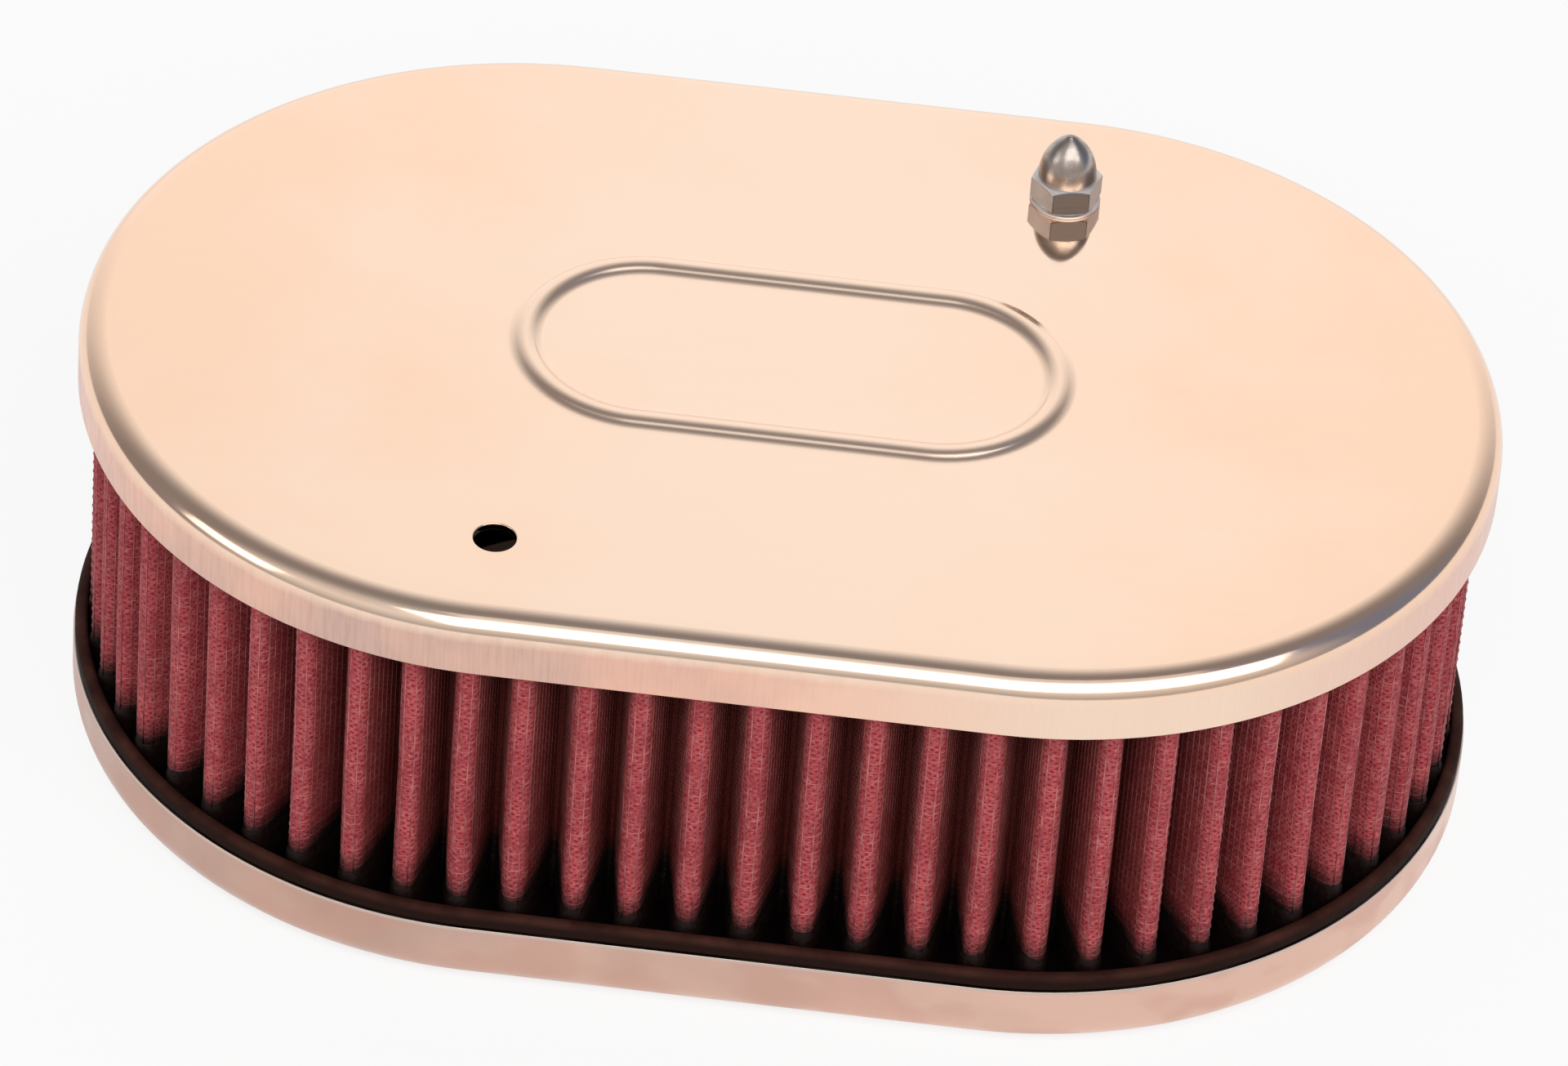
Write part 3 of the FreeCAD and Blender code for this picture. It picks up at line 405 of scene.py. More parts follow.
def make_zinc_steel():
    """Turned steel, bright zinc plated: pale, slightly blue, with faint turning marks."""
    material, tree = new_material("zinc_plated_steel")
    place = add(tree, "ShaderNodeTexCoord", out="Object")
    turned = add(tree, "ShaderNodeMapping", {"Vector": place, "Scale": (1.0, 1.0, 12.0)})
    marks = add(tree, "ShaderNodeTexNoise", {"Vector": turned, "Scale": 1 / (2 * MM), "Detail": 3.0})
    marks = add(tree, "ShaderNodeMapRange", {0: marks, 1: 0.35, 2: 0.65})
    tone = add(tree, "ShaderNodeMix", {0: marks, 6: colour("#C4C6C4"), 7: colour("#DCDBD3")}, out=2,
               data_type="RGBA")
    rough = add(tree, "ShaderNodeMapRange", {0: marks, 3: 0.22, 4: 0.36})
    bump = add(tree, "ShaderNodeBump", {"Height": marks, "Distance": 0.01 * MM, "Strength": 0.4})
    surface = add(tree, "ShaderNodeBsdfPrincipled", {
        "Base Color": tone, "Metallic": 1.0, "Roughness": rough, "Normal": bump})
    add(tree, "ShaderNodeOutputMaterial", {"Surface": surface})
    return material


def make_plated_nut():
    """Nickel-plated acorn nut: a buffed dome over dull, machined flats, one of them painted a darker
    grey-brown as shade.
    """
    material, tree = new_material("nickel_plate")
    place = add(tree, "ShaderNodeTexCoord", out="Object")
    height = add(tree, "ShaderNodeSeparateXYZ", {0: place}, out="Z")
    domed = add(tree, "ShaderNodeMapRange", {0: height, 1: CAP_HEX_TOP - 0.1 * MM, 2: CAP_HEX_TOP + 0.1 * MM})
    turned = add(tree, "ShaderNodeMapping", {"Vector": place, "Scale": (1.0, 1.0, 14.0)})
    lines = add(tree, "ShaderNodeTexNoise", {"Vector": turned, "Scale": 1 / (2.2 * MM), "Detail": 3.0})
    lines = add(tree, "ShaderNodeMapRange", {0: lines, 1: 0.35, 2: 0.7})
    marks = add(tree, "ShaderNodeTexNoise", {"Vector": place, "Scale": 1 / (1.4 * MM), "Detail": 5.0})
    marks = add(tree, "ShaderNodeMapRange", {0: marks, 1: 0.4, 2: 0.7})
    # Painted shade: the flat that faces this way takes a darker grey-brown, down to the washer face.
    off_axis = add(tree, "ShaderNodeVectorMath", {0: place, 1: (RIGHT_X, REAR_Y, 0.0)}, operation="SUBTRACT")
    facing = add(tree, "ShaderNodeVectorMath", {
        0: off_axis, 1: (math.cos(SHADED_FLAT), math.sin(SHADED_FLAT), 0.0)}, out="Value",
        operation="DOT_PRODUCT")
    flat_shade = add(tree, "ShaderNodeMapRange", {0: facing, 1: 3.85 * MM, 2: 3.95 * MM})
    above = add(tree, "ShaderNodeMapRange", {
        0: height, 1: COVER_TOP + CAP_WASHER_FACE + 0.05 * MM, 2: COVER_TOP + CAP_WASHER_FACE + 0.1 * MM})
    flat_shade = add(tree, "ShaderNodeMath", {0: flat_shade, 1: above}, operation="MULTIPLY")
    flats = add(tree, "ShaderNodeMix", {0: lines, 6: colour("#E6DEDA"), 7: colour("#F6F0EC")}, out=2,
                data_type="RGBA")
    brown = add(tree, "ShaderNodeMix", {0: lines, 6: colour("#686462"), 7: colour("#7E7875")}, out=2,
                data_type="RGBA")
    flats = add(tree, "ShaderNodeMix", {0: flat_shade, 6: flats, 7: brown}, out=2, data_type="RGBA")
    dome = add(tree, "ShaderNodeMix", {0: marks, 6: colour("#C0B5AD"), 7: colour("#A0938A")}, out=2,
               data_type="RGBA")
    tone = add(tree, "ShaderNodeMix", {0: domed, 6: flats, 7: dome}, out=2, data_type="RGBA")
    dull = add(tree, "ShaderNodeMapRange", {0: lines, 3: 0.45, 4: 0.6})
    clear = add(tree, "ShaderNodeMapRange", {0: marks, 3: 0.24, 4: 0.34})
    rough = add(tree, "ShaderNodeMix", {0: domed, 2: dull, 3: clear})
    surface = add(tree, "ShaderNodeBsdfPrincipled", {"Base Color": tone, "Metallic": 1.0, "Roughness": rough})
    add(tree, "ShaderNodeOutputMaterial", {"Surface": surface})
    return material


def of_kind(geometry, kind):
    """The elements of one kind in a list that an operator gives."""
    return [item for item in geometry if isinstance(item, kind)]


def extrude_by(bm, edges, step):
    """Extrudes a row of edges by a step and gives the new row."""
    made = bmesh.ops.extrude_edge_only(bm, edges=edges)["geom"]
    tips = of_kind(made, bmesh.types.BMVert)
    bmesh.ops.translate(bm, vec=step, verts=tips)
    fresh = set(tips)
    return [edge for edge in of_kind(made, bmesh.types.BMEdge) if fresh.issuperset(edge.verts)]


def draw_wire(bm, points, closed):
    """A line of edges through some points."""
    row = [bm.verts.new(point) for point in points]
    ahead = row[1:] + row[:1] if closed else row[1:]
    return [bm.edges.new(pair) for pair in zip(row, ahead)]


def sweep_oval(bm, span, section, closed=False, steps=ARC_STEPS):
    """Leads a section, as points (distance from the oval's centre line, height), once round an oval."""
    row = draw_wire(bm, [(span, -reach, height) for reach, height in section], closed)
    for side in (1, -1):
        turned = bmesh.ops.spin(bm, geom=row, cent=(side * span, 0, 0), axis=(0, 0, 1), dvec=(0, 0, 0),
                                angle=math.pi, steps=steps)
        row = of_kind(turned["geom_last"], bmesh.types.BMEdge)
        row = extrude_by(bm, row, (-2 * side * span, 0, 0))
    bmesh.ops.remove_doubles(bm, verts=bm.verts, dist=NEAR)


def ring_edges(bm, span, reach, height):
    """The edges that run round an oval at one distance and height."""
    def on_ring(vert):
        away = math.hypot(max(abs(vert.co.x) - span, 0.0), vert.co.y)
        return abs(away - reach) < NEAR and abs(vert.co.z - height) < NEAR
    return [edge for edge in bm.edges if all(on_ring(vert) for vert in edge.verts)]


def round_ring(bm, span, reach, height, radius, segments=6):
    """Rounds an edge that runs round an oval."""
    bmesh.ops.bevel(bm, geom=ring_edges(bm, span, reach, height), offset=radius, offset_type="OFFSET",
                    affect="EDGES", segments=segments, profile=0.5, material=-1)


def circle_edges(bm, x, y, z, radius, segments=56):
    """A hole's edge in a flat face."""
    made = bmesh.ops.create_circle(bm, cap_ends=False, segments=segments, radius=radius,
                                   matrix=Matrix.Translation((x, y, z)))
    return list({edge for vert in made["verts"] for edge in vert.link_edges})


def fill_flat(bm, edges):
    """Fills between level rows of edges, in as few faces as it can, because slivers shade badly."""
    made = bmesh.ops.triangle_fill(bm, use_beauty=True, use_dissolve=False, edges=edges, normal=(0, 0, 1))
    rim = set(edges)
    fresh = of_kind(made["geom"], bmesh.types.BMEdge)
    inside = [edge for edge in fresh if edge.is_manifold and edge not in rim]
    bmesh.ops.dissolve_limit(bm, angle_limit=math.radians(1), verts=[], edges=inside)


def new_piece(name, bm, material, nodes, body="cleaner", sharp=35.0):
    """Makes a mesh an object that stands for some of the part's nodes."""
    mesh = bpy.data.meshes.new(name)
    bm.to_mesh(mesh)
    bm.free()
    mesh.shade_smooth()
    mesh.set_sharp_from_angle(angle=math.radians(sharp))
    mesh.materials.append(material)
    piece = bpy.data.objects.new(name, mesh)
    bpy.context.scene.collection.objects.link(piece)
    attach(piece, body)
    if nodes:
        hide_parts(*nodes)
    return piece


def give_wall(piece):
    """Gives a pressed shell its sheet, on the inside, and takes the sharpness off its cut edges."""
    wall = piece.modifiers.new("wall", "SOLIDIFY")
    wall.thickness = SHEET
    wall.offset = -1.0
    wall.use_even_offset = True
    soften(piece, CUT_EDGE)


def soften(piece, width, angle=50.0):
    """Rounds the sharp edges a little and evens the shading beside them."""
    edge = piece.modifiers.new("edge", "BEVEL")
    edge.width = width
    edge.segments = 2
    edge.limit_method = "ANGLE"
    edge.angle_limit = math.radians(angle)
    edge.use_clamp_overlap = True
    shading = piece.modifiers.new("shading", "WEIGHTED_NORMAL")
    shading.keep_sharp = True


def make_cover(material):
    """Pressed cover with its raised bead and two stud holes."""
    bm = bmesh.new()
    flat_reach = END_RADIUS - COVER_BEND - FLAT_EDGE
    sweep_oval(bm, HALF_SPAN, [(END_RADIUS, SKIRT_FOOT), (END_RADIUS, COVER_TOP), (flat_reach, COVER_TOP)])
    round_ring(bm, HALF_SPAN, END_RADIUS, COVER_TOP, COVER_BEND, 12)
    crown = COVER_TOP + BEAD_RISE
    section = [(BEAD_OUTER + 1.0 * MM, COVER_TOP), (BEAD_OUTER, COVER_TOP), (BEAD_OUTER - BEAD_SLOPE, crown),
               (BEAD_INNER + BEAD_SLOPE, crown), (BEAD_INNER, COVER_TOP), (BEAD_INNER - 1.0 * MM, COVER_TOP)]
    sweep_oval(bm, BEAD_HALF_SPAN, section, steps=40)
    for reach, height in section[1:-1]:
        round_ring(bm, BEAD_HALF_SPAN, reach, height, BEAD_BLEND, 4)
    border = ring_edges(bm, HALF_SPAN, flat_reach, COVER_TOP)
    border += ring_edges(bm, BEAD_HALF_SPAN, section[0][0], COVER_TOP)
    for x, y in ((LEFT_X, FRONT_Y), (RIGHT_X, REAR_Y)):
        border += circle_edges(bm, x, y, COVER_TOP, HOLE_RADIUS)
    fill_flat(bm, border)
    fill_flat(bm, ring_edges(bm, BEAD_HALF_SPAN, section[-1][0], COVER_TOP))
    bmesh.ops.recalc_face_normals(bm, faces=bm.faces)
    piece = new_piece("pressed_cover", bm, material, ["top_cover"])
    give_wall(piece)
    return piece


def make_pan(material):
    """Pressed pan with its upturned rim, collared opening and holes."""
    bm = bmesh.new()
    flat_reach = END_RADIUS - PAN_BEND - FLAT_EDGE
    sweep_oval(bm, HALF_SPAN, [(END_RADIUS, PAN_RIM), (END_RADIUS, 0.0), (flat_reach, 0.0)])
    round_ring(bm, HALF_SPAN, END_RADIUS, 0.0, PAN_BEND, 12)
    foot = OPENING_RADIUS + COLLAR_BEND + 1.5 * MM
    sweep_oval(bm, OPENING_HALF_SPAN, [(foot, 0.0), (OPENING_RADIUS, 0.0), (OPENING_RADIUS, COLLAR_TOP)],
               steps=48)
    round_ring(bm, OPENING_HALF_SPAN, OPENING_RADIUS, 0.0, COLLAR_BEND, 8)
    border = ring_edges(bm, HALF_SPAN, flat_reach, 0.0) + ring_edges(bm, OPENING_HALF_SPAN, foot, 0.0)
    for x, y, radius in ((LEFT_X, FRONT_Y, HOLE_RADIUS), (RIGHT_X, FRONT_Y, HOLE_RADIUS),
                         (LEFT_X, REAR_Y, HOLE_RADIUS), (RIGHT_X, REAR_Y, HEAD_HOLE_RADIUS)):
        border += circle_edges(bm, x, y, 0.0, radius)
    fill_flat(bm, border)
    bmesh.ops.recalc_face_normals(bm, faces=bm.faces)
    piece = new_piece("pressed_pan", bm, material, ["base_pan"])
    give_wall(piece)
    return piece


def make_lower_ring(material):
    """Cast ring in the pan: a lip over the rim and a channel that the pleats stand in."""
    bm = bmesh.new()
    section = [(RING_FACE, SHEET), (RING_FACE, LIP_UNDER), (LIP_FACE, LIP_UNDER), (LIP_FACE, LIP_TOP),
               (CHANNEL_FRONT, LIP_TOP), (CHANNEL_FRONT, SEAT), (CHANNEL_BACK, SEAT), (CHANNEL_BACK, LIP_TOP),
               (RING_BACK, LIP_TOP), (RING_BACK, SHEET)]
    sweep_oval(bm, HALF_SPAN, section, closed=True)
    round_ring(bm, HALF_SPAN, RING_FACE, SHEET, PAN_BEND - SHEET, 6)
    for reach, radius, segments in ((LIP_FACE, 0.8 * MM, 5), (CHANNEL_FRONT, 0.6 * MM, 4),
                                    (CHANNEL_BACK, 0.4 * MM, 3), (RING_BACK, 0.4 * MM, 3)):
        round_ring(bm, HALF_SPAN, reach, LIP_TOP, radius, segments)
    bmesh.ops.recalc_face_normals(bm, faces=bm.faces)
    return new_piece("lower_ring", bm, material, ["lower_end_ring"])


def make_upper_ring(material):
    """Cast ring under the cover, with a channel for the pleats' tops."""
    bm = bmesh.new()
    section = [(RING_FACE, COVER_INSIDE), (RING_FACE, UPPER_RING_FOOT), (CHANNEL_FRONT, UPPER_RING_FOOT),
               (CHANNEL_FRONT, PLEAT_TOP), (CHANNEL_BACK, PLEAT_TOP), (CHANNEL_BACK, UPPER_RING_FOOT),
               (RING_BACK, UPPER_RING_FOOT), (RING_BACK, COVER_INSIDE)]
    sweep_oval(bm, HALF_SPAN, section, closed=True)
    round_ring(bm, HALF_SPAN, RING_FACE, COVER_INSIDE, COVER_BEND - SHEET, 6)
    round_ring(bm, HALF_SPAN, RING_BACK, UPPER_RING_FOOT, 0.4 * MM, 3)
    bmesh.ops.recalc_face_normals(bm, faces=bm.faces)
    return new_piece("upper_ring", bm, material, ["upper_end_ring"])


def fold(along, lift):
    """Where a point of the flat cloth goes in its pleat: across from the crest, and in from it."""
    run = abs(along)
    if run < FOLD_ARC:
        turn = run / FOLD_RADIUS
        across = FOLD_RADIUS * math.sin(turn)
        inward = FOLD_RADIUS * (1 - math.cos(turn))
    elif run < FOLD_ARC + FLANK:
        turn = FOLD_ANGLE
        across = FOLD_RADIUS * math.sin(turn) + (run - FOLD_ARC) * math.cos(turn)
        inward = FOLD_RADIUS * (1 - math.cos(turn)) + (run - FOLD_ARC) * math.sin(turn)
    else:
        turn = (2 * FOLD_ARC + FLANK - run) / FOLD_RADIUS
        across = PITCH / 2 - FOLD_RADIUS * math.sin(turn)
        inward = FOLD_DEPTH - FOLD_RADIUS * (1 - math.cos(turn))
    across += lift * math.sin(turn)
    inward -= lift * math.cos(turn)
    return math.copysign(across, along), inward


def on_oval(distance, depth):
    """A point some way along the crest line from the middle of the front, and some depth inside it."""
    bend = math.pi * CREST_RADIUS
    along = distance % CREST_LENGTH
    inner = CREST_RADIUS - depth
    if along < HALF_SPAN:
        return along, -inner
    along -= HALF_SPAN
    if along < bend:
        angle = along / CREST_RADIUS - math.pi / 2
        return HALF_SPAN + inner * math.cos(angle), inner * math.sin(angle)
    along -= bend
    if along < 2 * HALF_SPAN:
        return HALF_SPAN - along, inner
    along -= 2 * HALF_SPAN
    if along < bend:
        angle = along / CREST_RADIUS + math.pi / 2
        return -HALF_SPAN + inner * math.cos(angle), inner * math.sin(angle)
    return along - bend - HALF_SPAN, -inner


def fold_marks(crest_steps, flank_steps, valley_steps):
    """Places along one pleat's cloth, from valley to valley, close together where it turns."""
    half = [FOLD_ARC * k / crest_steps for k in range(crest_steps)]
    half += [FOLD_ARC + FLANK * k / flank_steps for k in range(flank_steps)]
    half += [FOLD_ARC + FLANK + FOLD_ARC * k / valley_steps for k in range(valley_steps + 1)]
    return [-run for run in reversed(half[1:])] + half


def repeat(bm, count, step):
    """Copies everything in the mesh so far, each time one step further on."""
    row = bm.verts[:] + bm.edges[:] + bm.faces[:]
    for _ in range(count - 1):
        row = bmesh.ops.duplicate(bm, geom=row)["geom"]
        bmesh.ops.translate(bm, vec=step, verts=of_kind(row, bmesh.types.BMVert))


def draw_along_cloth(bm, section, marks):
    """Leads a closed section, as points (lift, height), along the cloth of one pleat."""
    row = draw_wire(bm, [(marks[0], lift, height) for lift, height in section], closed=True)
    for start, finish in zip(marks, marks[1:]):
        row = extrude_by(bm, row, (finish - start, 0, 0))


def pleat_cloth(bm):
    """Keeps the flat cloth's places as its UV map, then folds it and leads it round the oval."""
    layer = bm.loops.layers.uv.new("cloth")
    for face in bm.faces:
        for loop in face.loops:
            loop[layer].uv = (loop.vert.co.x, loop.vert.co.z)
    middle = (SEAT + PLEAT_TOP) / 2
    for vert in bm.verts:
        along, lift, height = vert.co
        crest = round(along / PLEAT_CLOTH)
        across, inward = fold(along - crest * PLEAT_CLOTH, lift)
        valley = crest if across > 0 else crest - 1
        share = min(max(inward / FOLD_DEPTH, 0.0), 1.0)
        bow = crest_bow[crest % PLEATS] * (1 - ((height - middle) / (middle - SEAT)) ** 2)
        drift = (crest_shift[crest % PLEATS] + bow) * (1 - share) + valley_shift[valley % PLEATS] * share
        x, y = on_oval(FIRST_CREST + crest * PITCH + across + drift, inward)
        vert.co = (x, y, height)
    bmesh.ops.remove_doubles(bm, verts=bm.verts, dist=NEAR)
    bmesh.ops.recalc_face_normals(bm, faces=bm.faces)


def make_gauze(material):
    """Pleated gauze between the two end rings."""
    bm = bmesh.new()
    rows = 8
    heights = [SEAT + (PLEAT_TOP - SEAT) * k / rows for k in range(rows + 1)]
    section = [(GAUZE_HALF, height) for height in heights]
    section += [(-GAUZE_HALF, height) for height in reversed(heights)]
    draw_along_cloth(bm, section, fold_marks(5, 3, 3))
    repeat(bm, PLEATS, (PLEAT_CLOTH, 0, 0))
    pleat_cloth(bm)
    return new_piece("pleated_gauze", bm, material, ["gauze_pleats"], sharp=60.0)


def make_screen(name, node, material, side, marks):
    """Woven wire on one side of the gauze: weft wires that follow the folds, and upright warp wires."""
    bm = bmesh.new()
    corners = [math.radians(90 + 120 * k) for k in range(3)]
    weft = [(side * WEFT_LIFT + WIRE_RADIUS * math.sin(turn), WEFT_FOOT + WIRE_RADIUS * math.cos(turn))
            for turn in corners]
    draw_along_cloth(bm, weft, marks)
    repeat(bm, WEFT_COUNT, (0, 0, WEFT_SPACING))
    low = WEFT_FOOT - 1.4 * MM
    high = UPPER_RING_FOOT + 0.6 * MM
    for number in range(WARPS_PER_PLEAT):
        along = (number + 0.5 - WARPS_PER_PLEAT / 2) * PLEAT_CLOTH / WARPS_PER_PLEAT
        made = bmesh.ops.create_cone(bm, cap_ends=True, cap_tris=True, segments=3, radius1=WIRE_RADIUS,
                                     radius2=WIRE_RADIUS, depth=high - low,
                                     matrix=Matrix.Translation((along, side * WARP_LIFT, (low + high) / 2)))
        around = list({edge for vert in made["verts"] for edge in vert.link_edges})
        faces = list({face for vert in made["verts"] for face in vert.link_faces})
        bmesh.ops.bisect_plane(bm, geom=made["verts"] + around + faces, plane_co=(0, 0, (low + high) / 2),
                               plane_no=(0, 0, 1))
    repeat(bm, PLEATS, (PLEAT_CLOTH, 0, 0))
    for vert in bm.verts:
        spot = Vector((vert.co.x, 0.0, vert.co.z)) / (9 * MM)
        vert.co.z += WIRE_DRIFT * noise.noise(spot)
        vert.co.x += WIRE_DRIFT * noise.noise(spot + Vector((40.0, 0.0, 0.0)))
    pleat_cloth(bm)
    return new_piece(name, bm, material, [node], sharp=180.0)


def make_feet(material):
    """Urethane drawn up the foot of every pleat when the ring was cast, with an uneven upper edge."""
    bm = bmesh.new()
    side = [(FOOT_HALF, SEAT - 0.4 * MM), (FOOT_HALF, SEAT + 2 * MM), (FOOT_HALF, FOOT_TOP - 0.7 * MM),
            (GAUZE_HALF, FOOT_TOP)]
    section = side + [(-lift, height) for lift, height in reversed(side)]
    draw_along_cloth(bm, section, fold_marks(4, 6, 3))
    repeat(bm, PLEATS, (PLEAT_CLOTH, 0, 0))
    for vert in bm.verts:
        share = max(vert.co.z - SEAT, 0.0) / (FOOT_TOP - SEAT)
        wave = noise.noise(Vector((vert.co.x / (2.2 * MM), 0.0, 3.0)))
        slow = noise.noise(Vector((vert.co.x / (13 * MM), 0.0, 9.0)))
        vert.co.z += FOOT_UNEVEN * share * (wave + slow)
    pleat_cloth(bm)
    return new_piece("urethane_feet", bm, material, [], sharp=60.0)


def hexagon_ring(bm, height):
    """A closed row of edges on a hexagon, with points along each flat for the chamfers to bend."""
    made = bmesh.ops.create_circle(bm, cap_ends=False, segments=72, radius=HEX_FLATS / 2,
                                   matrix=Matrix.Translation((0, 0, height)))
    flat = math.radians(60)
    for vert in made["verts"]:
        turn = math.atan2(vert.co.y, vert.co.x)
        away = turn - flat * round(turn / flat)
        stretch = 1 / math.cos(away)
        vert.co.x *= stretch
        vert.co.y *= stretch
    return made["verts"], list({edge for vert in made["verts"] for edge in vert.link_edges})


def scale_row(bm, edges, radius, height):
    """Extrudes a closed row and brings it to a circle at a height."""
    row = extrude_by(bm, edges, (0, 0, 0))
    for vert in {vert for edge in row for vert in edge.verts}:
        turn = math.atan2(vert.co.y, vert.co.x)
        vert.co = (radius * math.cos(turn), radius * math.sin(turn), height)
    return row


def draw_hexagon(bm, low, high):
    """The flats of a nut, with their corners cut back by the chamfers. Gives the lower and the upper row."""
    verts, foot = hexagon_ring(bm, low)
    row = extrude_by(bm, foot, (0, 0, high - low))
    fresh = {vert for edge in row for vert in edge.verts}
    for vert in [*verts, *fresh]:
        drop = max(math.hypot(vert.co.x, vert.co.y) - HEX_CHAMFER_RADIUS, 0.0) * CHAMFER_SLOPE
        vert.co.z += drop if vert.co.z < (low + high) / 2 else -drop
    return foot, row


def place_on_stud(bm, turn=0.0):
    """Turns a nut and moves it to the stud's axis."""
    spot = Matrix.Translation((RIGHT_X, REAR_Y, 0)) @ Matrix.Rotation(turn, 4, "Z")
    bmesh.ops.transform(bm, matrix=spot, verts=bm.verts)
    bmesh.ops.remove_doubles(bm, verts=bm.verts, dist=NEAR)
    bmesh.ops.recalc_face_normals(bm, faces=bm.faces)


def make_cap_nut(material):
    """Acorn nut: a round washer face, a chamfered hexagon and a pointed dome, with a blind bore."""
    bm = bmesh.new()
    low = COVER_TOP + CAP_WASHER_FACE
    foot, row = draw_hexagon(bm, low, CAP_HEX_TOP)
    row = scale_row(bm, row, HEX_CHAMFER_RADIUS, CAP_HEX_TOP)
    row = scale_row(bm, row, DOME_BASE, CAP_HEX_TOP)
    reach = ((DOME_BASE - DOME_TIP) ** 2 + DOME_RISE ** 2) / (2 * (DOME_BASE - DOME_TIP))
    finish = math.asin(DOME_RISE / reach)
    steps = 22
    for k in range(1, steps + 1):
        turn = finish * k / steps
        row = scale_row(bm, row, DOME_BASE - reach * (1 - math.cos(turn)),
                        CAP_HEX_TOP + reach * math.sin(turn))
    row = scale_row(bm, row, DOME_TIP * 0.7, CAP_HEX_TOP + DOME_RISE + 0.12 * MM)
    bmesh.ops.holes_fill(bm, edges=row)
    row = scale_row(bm, foot, HEX_CHAMFER_RADIUS, low)
    for radius, height in ((CAP_WASHER_RADIUS, low), (CAP_WASHER_RADIUS, COVER_TOP), (NUT_BORE, COVER_TOP),
                           (NUT_BORE, CAP_BORE_TOP)):
        row = scale_row(bm, row, radius, height)
    bmesh.ops.holes_fill(bm, edges=row)
    place_on_stud(bm, CAP_NUT_TURN)
    piece = new_piece("acorn_nut", bm, material, ["cap_nut"], body="nut", sharp=22.0)
    soften(piece, 0.09 * MM, 40.0)
    return piece


def make_lower_nut(material):
    """Plain nut that holds the stud to the pan."""
    bm = bmesh.new()
    foot, row = draw_hexagon(bm, WASHER_TOP, LOCK_NUT_TOP)
    for radius, height in ((HEX_CHAMFER_RADIUS, LOCK_NUT_TOP), (NUT_BORE, LOCK_NUT_TOP),
                           (NUT_BORE, WASHER_TOP), (HEX_CHAMFER_RADIUS, WASHER_TOP)):
        row = scale_row(bm, row, radius, height)
    scale_row(bm, foot, HEX_CHAMFER_RADIUS, WASHER_TOP)
    place_on_stud(bm)
    piece = new_piece("stud_lock_nut", bm, material, ["stud_nut"], sharp=22.0)
    soften(piece, 0.08 * MM, 40.0)
    return piece


def make_washer(material):
    """Flat washer under the lower nut."""
    bm = bmesh.new()
    ring = [(HOLE_RADIUS, SHEET), (WASHER_RADIUS, SHEET), (WASHER_RADIUS, WASHER_TOP),
            (HOLE_RADIUS, WASHER_TOP)]
    row = draw_wire(bm, [(reach, 0, height) for reach, height in ring], closed=True)
    bmesh.ops.spin(bm, geom=row, cent=(0, 0, 0), axis=(0, 0, 1), dvec=(0, 0, 0), angle=2 * math.pi, steps=48,
                   use_merge=True)
    place_on_stud(bm)
    piece = new_piece("flat_washer", bm, material, ["stud_washer"], sharp=30.0)
    soften(piece, 0.12 * MM)
    return piece


def make_stud(material):
    """Long stud: a flush head in the pan, a plain neck, and a thread up to its tip."""
    bm = bmesh.new()
    steps = 16
    thread = [(THREAD_CORE, 0.0), (THREAD_CREST, 0.35), (THREAD_CREST, 0.5), (THREAD_CORE, 0.85),
              (THREAD_CORE, 1.0)]
    row = draw_wire(bm, [(reach, 0, SHEET + share * THREAD_PITCH) for reach, share in thread], closed=False)
    bmesh.ops.spin(bm, geom=row, cent=(0, 0, 0), axis=(0, 0, 1), dvec=(0, 0, THREAD_PITCH / steps),
                   angle=2 * math.pi * THREAD_TURNS, steps=steps * THREAD_TURNS)
    bmesh.ops.remove_doubles(bm, verts=bm.verts, dist=NEAR)
    neck_top = 1.9 * MM
    head = [(0.0, 0.0), (STUD_HEAD_RADIUS, 0.0), (STUD_HEAD_RADIUS, SHEET), (STUD_NECK, SHEET),
            (STUD_NECK, neck_top), (0.0, neck_top)]
    thread_top = SHEET + THREAD_PITCH * THREAD_TURNS
    tip_foot = thread_top - 0.4 * MM
    tip = [(0.0, tip_foot), (STUD_NECK, tip_foot), (2.3 * MM, thread_top + THREAD_PITCH),
           (1.9 * MM, STUD_TOP), (0.0, STUD_TOP)]
    for outline in (head, tip):
        row = draw_wire(bm, [(reach, 0, height) for reach, height in outline], closed=False)
        bmesh.ops.spin(bm, geom=row, cent=(0, 0, 0), axis=(0, 0, 1), dvec=(0, 0, 0), angle=2 * math.pi,
                       steps=40, use_merge=True)
    place_on_stud(bm)
    return new_piece("threaded_stud", bm, material, ["cover_stud"], sharp=30.0)


